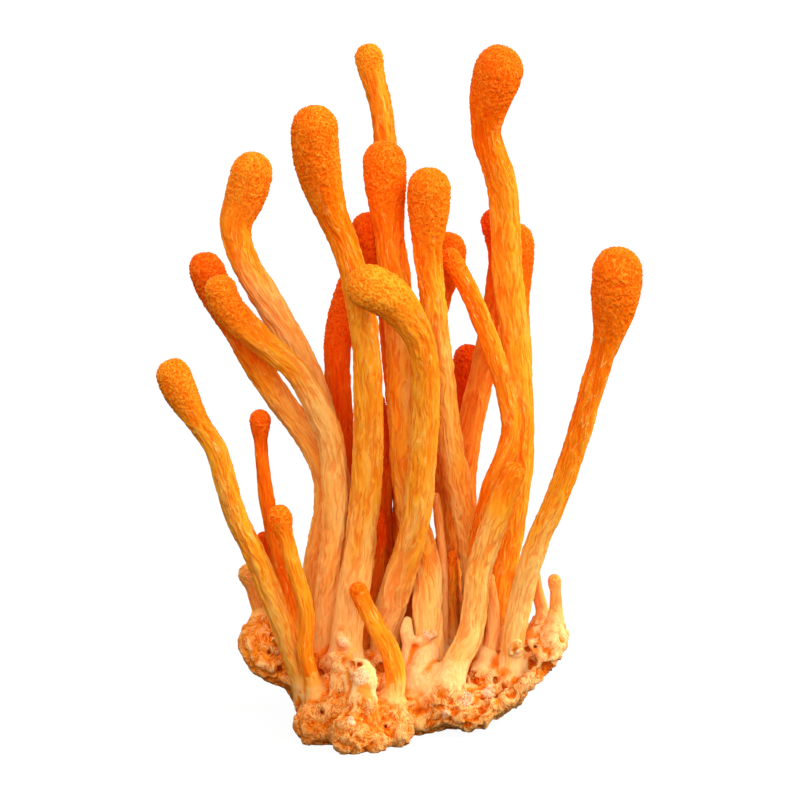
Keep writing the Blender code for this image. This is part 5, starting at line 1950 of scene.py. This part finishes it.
    def relief_tree(self) -> Tree:
        """Build the tree that folds the mat into rolls with narrow creases between them.

        Returns:
            The tree.
        """
        sheet, given, result = new_tree("mat_relief", "GeometryNodeTree", {
            "Mat": ("NodeSocketGeometry", None),
            "Roll height": ("NodeSocketFloat", 0.55),
            "Crease depth": ("NodeSocketFloat", 0.21),
            "Torn height": ("NodeSocketFloat", 0.45),
            "Finish": ("NodeSocketMaterial", None),
        }, {"Mat": "NodeSocketGeometry"})
        place = sheet.vector("SCALE", sheet.add("GeometryNodeInputPosition").outputs[0], 1 / MM)
        stirred = sheet.vector("MULTIPLY", sheet.stir(place, place, *self.WANDER), self.STRETCH)
        slanted = sheet.add("ShaderNodeVectorRotate", {
            "Vector": stirred, "Axis": (0.0, 1.0, 0.0), "Angle": self.SLANT}).outputs[0]
        slanted = sheet.vector("MULTIPLY", slanted, self.SLANT_STRETCH)
        rolls = sheet.less(self.creases(sheet, stirred, *self.ROLLS), self.ROLL_LEVEL)
        small = sheet.less(self.creases(sheet, slanted, *self.SMALL), self.ROLL_LEVEL)
        shreds = self.creases(sheet, place, *self.SHREDS)
        lift = sheet.plus(sheet.times(rolls, given["Roll height"]),
                          sheet.times(small, given["Crease depth"]))
        calm = sheet.times(sheet.named("collar"), self.CALM_COLLAR)
        lift = sheet.times(lift, sheet.less(1.0, calm))
        lift = sheet.plus(lift, sheet.times(sheet.named("torn"), sheet.times(
            shreds, given["Torn height"])))
        moved = sheet.raised(given["Mat"], lift)
        sheet.plug(result["Mat"], sheet.dressed(moved, given["Finish"]))
        return sheet.tree

    def creases(self, sheet: Sheet, place: Socket, scale: float, width: float) -> Socket:
        """Round rolls with narrow creases between them.

        Args:
            sheet: The sheet to work on.
            place: Where they are, in millimetres.
            scale: Rolls for each millimetre.
            width: How wide a crease is, from 0 to 0.5.

        Returns:
            The socket of their height, 0 in a crease and 1 on a roll.
        """
        away = sheet.vein(place, scale, *self.CREASE_PATTERN)
        return sheet.sum("POWER", sheet.sum("MINIMUM", sheet.sum("DIVIDE", away, width), 1.0),
                         self.CREASE_CURVE)

    def fibre_tree(self) -> Tree:
        """Build the tree that grows curled fibres on the mat's torn knots.

        Returns:
            The tree.
        """
        sheet, given, result = new_tree("mat_fibres", "GeometryNodeTree", {
            "Mat": ("NodeSocketGeometry", None),
            "Density": ("NodeSocketFloat", 3.0),
            "Length": ("NodeSocketFloat", 0.6),
            "Thickness": ("NodeSocketFloat", 0.26),
            "Seed": ("NodeSocketInt", 5),
            "Finish": ("NodeSocketMaterial", None),
        }, {"Mat": "NodeSocketGeometry"})
        density = sheet.times(sheet.step(sheet.named("torn"), *self.TORN_EDGE),
                              sheet.sum("DIVIDE", given["Density"], MM * MM))
        spread = sheet.scattered(given["Mat"], density, given["Seed"])
        lean = sheet.add("FunctionNodeRandomValue", {
            0: tuple(-angle for angle in self.LEAN), 1: self.LEAN}, data_type="FLOAT_VECTOR")
        lean = sheet.add("FunctionNodeEulerToRotation", {0: lean.outputs[0]}).outputs[0]
        turned = sheet.add("FunctionNodeRotateRotation", {
            "Rotation": spread.outputs["Rotation"], "Rotate By": lean},
            rotation_space="LOCAL").outputs[0]
        size = sheet.add("FunctionNodeRandomValue", dict(zip((2, 3), self.LENGTHS)),
                         data_type="FLOAT").outputs[1]
        real = sheet.planted(spread, self.hair(sheet, given["Thickness"]), turned,
                             sheet.times(size, given["Length"]))
        whole = sheet.joined(given["Mat"], sheet.store(real, "fibre", self.FIBRE_TINT))
        sheet.plug(result["Mat"], sheet.dressed(whole, given["Finish"]))
        return sheet.tree

    def hair(self, sheet: Sheet, thickness: Socket) -> Socket:
        """One curled fibre, a millimetre long.

        Args:
            sheet: The sheet to work on.
            thickness: How thick it is for its length.

        Returns:
            The fibre.
        """
        points = {title: tuple(length * MM for length in point)
                  for title, point in self.HAIR.items()}
        line = sheet.add("GeometryNodeCurveQuadraticBezier",
                         {"Resolution": self.HAIR_STEPS} | points)
        ring = sheet.add("GeometryNodeCurvePrimitiveCircle", {
            "Resolution": self.HAIR_SIDES, "Radius": sheet.times(thickness, 0.5 * MM)})
        along = sheet.add("GeometryNodeSplineParameter").outputs["Factor"]
        return sheet.add("GeometryNodeCurveToMesh", {
            "Curve": line.outputs[0], "Profile Curve": ring.outputs[0],
            "Scale": sheet.step(along, *self.HAIR_TAPER), "Fill Caps": True}).outputs[0]

    def dress(self, item: Item) -> None:
        """Tie the finished piece to the model.

        Args:
            item: The mat's object.
        """
        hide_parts(self.name)
        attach(item, "root")


@dataclass(frozen=True)
class Sun:
    """A soft light that shines evenly over the whole floor.

    The azimuth is degrees to the right of the front, the elevation degrees above the
    floor, the spread its width in degrees and the strength watts for each square metre.
    """

    name: str
    azimuth: float
    elevation: float
    spread: float
    strength: float

    def hang(self) -> None:
        """Put the light up.

        It is turned to shine from its azimuth and elevation onto the bunch.
        """
        lamp = bpy.data.lights.new(self.name, "SUN")
        lamp.energy = self.strength
        lamp.angle = math.radians(self.spread)
        item = bpy.data.objects.new(self.name, lamp)
        turn, tilt = math.radians(self.azimuth), math.radians(self.elevation)
        away = Vector((math.sin(turn) * math.cos(tilt), -math.cos(turn) * math.cos(tilt),
                       math.sin(tilt)))
        item.location = away
        item.rotation_euler = away.to_track_quat("Z", "Y").to_euler()
        bpy.context.scene.collection.objects.link(item)


@dataclass
class Studio:
    """The floor, the lights and the camera."""

    floor_size: float = 6.0
    floor_gap: float = 0.02
    floor_colour: Colour = (0.05, 0.05, 0.05)
    floor_roughness: float = 0.9
    floor_glow: float = 0.95
    air: float = 0.7
    near_clip: float = 0.1
    far_clip: float = 20.0
    suns: tuple[Sun, ...] = (
        Sun("key", 88.0, 32.0, 40.0, 3.6),
        Sun("front", 4.0, 28.0, 60.0, 2.2),
        Sun("back", 225.0, 30.0, 60.0, 1.1),
    )

    def build(self) -> None:
        """Put everything up.

        The floor comes first, then the lights and the camera.
        """
        self.floor()
        self.lights()
        self.camera()

    def floor(self) -> None:
        """Lay the pale floor.

        It glows only where the camera sees it, so that it doesn't light the bunch.
        """
        work = bmesh.new()
        bmesh.ops.create_grid(work, x_segments=1, y_segments=1, size=self.floor_size / 2)
        mesh = bpy.data.meshes.new("floor")
        work.to_mesh(mesh)
        work.free()
        floor = bpy.data.objects.new("floor", mesh)
        floor.location.z = -self.floor_gap * MM
        bpy.context.scene.collection.objects.link(floor)
        paint, sheet, shader = new_material("floor_paint")
        seen = sheet.add("ShaderNodeLightPath").outputs["Is Camera Ray"]
        for title, value in (("Base Color", (*self.floor_colour, 1.0)),
                             ("Roughness", self.floor_roughness), ("Specular IOR Level", 0.0),
                             ("Emission Color", WHITE),
                             ("Emission Strength", sheet.times(seen, self.floor_glow))):
            sheet.plug(shader[title], value)
        mesh.materials.append(paint)

    def lights(self) -> None:
        """Light the bunch softly, most from the right.

        White air lights it from everywhere, and suns from three sides.
        """
        world = bpy.data.worlds.new("studio_air")
        world.use_nodes = True
        air = world.node_tree.nodes["Background"]
        air.inputs["Color"].default_value = WHITE
        air.inputs["Strength"].default_value = self.air
        bpy.context.scene.world = world
        for sun in self.suns:
            sun.hang()

    def camera(self) -> None:
        """Stand the camera where the photograph was taken from.

        It stands far away with a long lens, and shows the plane of the frame in full.
        """
        data = bpy.data.cameras.new("camera")
        data.sensor_width = SENSOR_WIDTH
        data.lens = SENSOR_WIDTH * CAMERA_DISTANCE / FRAME_WIDTH
        data.clip_start = self.near_clip
        data.clip_end = self.far_clip
        camera = bpy.data.objects.new("camera", data)
        back = Vector((0.0, -math.cos(VIEW_TILT), math.sin(VIEW_TILT)))
        middle = Vector(from_front_view((0.0, FRAME_MIDDLE, FRAME_DEPTH))) * MM
        camera.location = middle + back * CAMERA_DISTANCE * MM
        camera.rotation_euler = back.to_track_quat("Z", "Y").to_euler()
        bpy.context.scene.collection.objects.link(camera)
        bpy.context.scene.camera = camera
        bpy.context.scene.view_settings.view_transform = "Standard"


def triangle_count(item: Item) -> int:
    """Count an object's triangles.

    Args:
        item: The object.

    Returns:
        How many triangles its mesh has.
    """
    item.data.calc_loop_triangles()
    return len(item.data.loop_triangles)


def main() -> None:
    """Build the bunch and the studio.

    Each piece is built, tied to the model and reported in turn.
    """
    logging.basicConfig(level=logging.INFO, format="%(message)s")
    skin = ClubSkin()
    total = 0
    for piece in (*CLUBS, Mat()):
        item = piece.build(skin) if isinstance(piece, Club) else piece.build()
        piece.dress(item)
        count = triangle_count(item)
        total += count
        LOG.info("%s: %d triangles", item.name, count)
    LOG.info("all pieces: %d triangles", total)
    Studio().build()


if __name__ == "__main__":
    main()
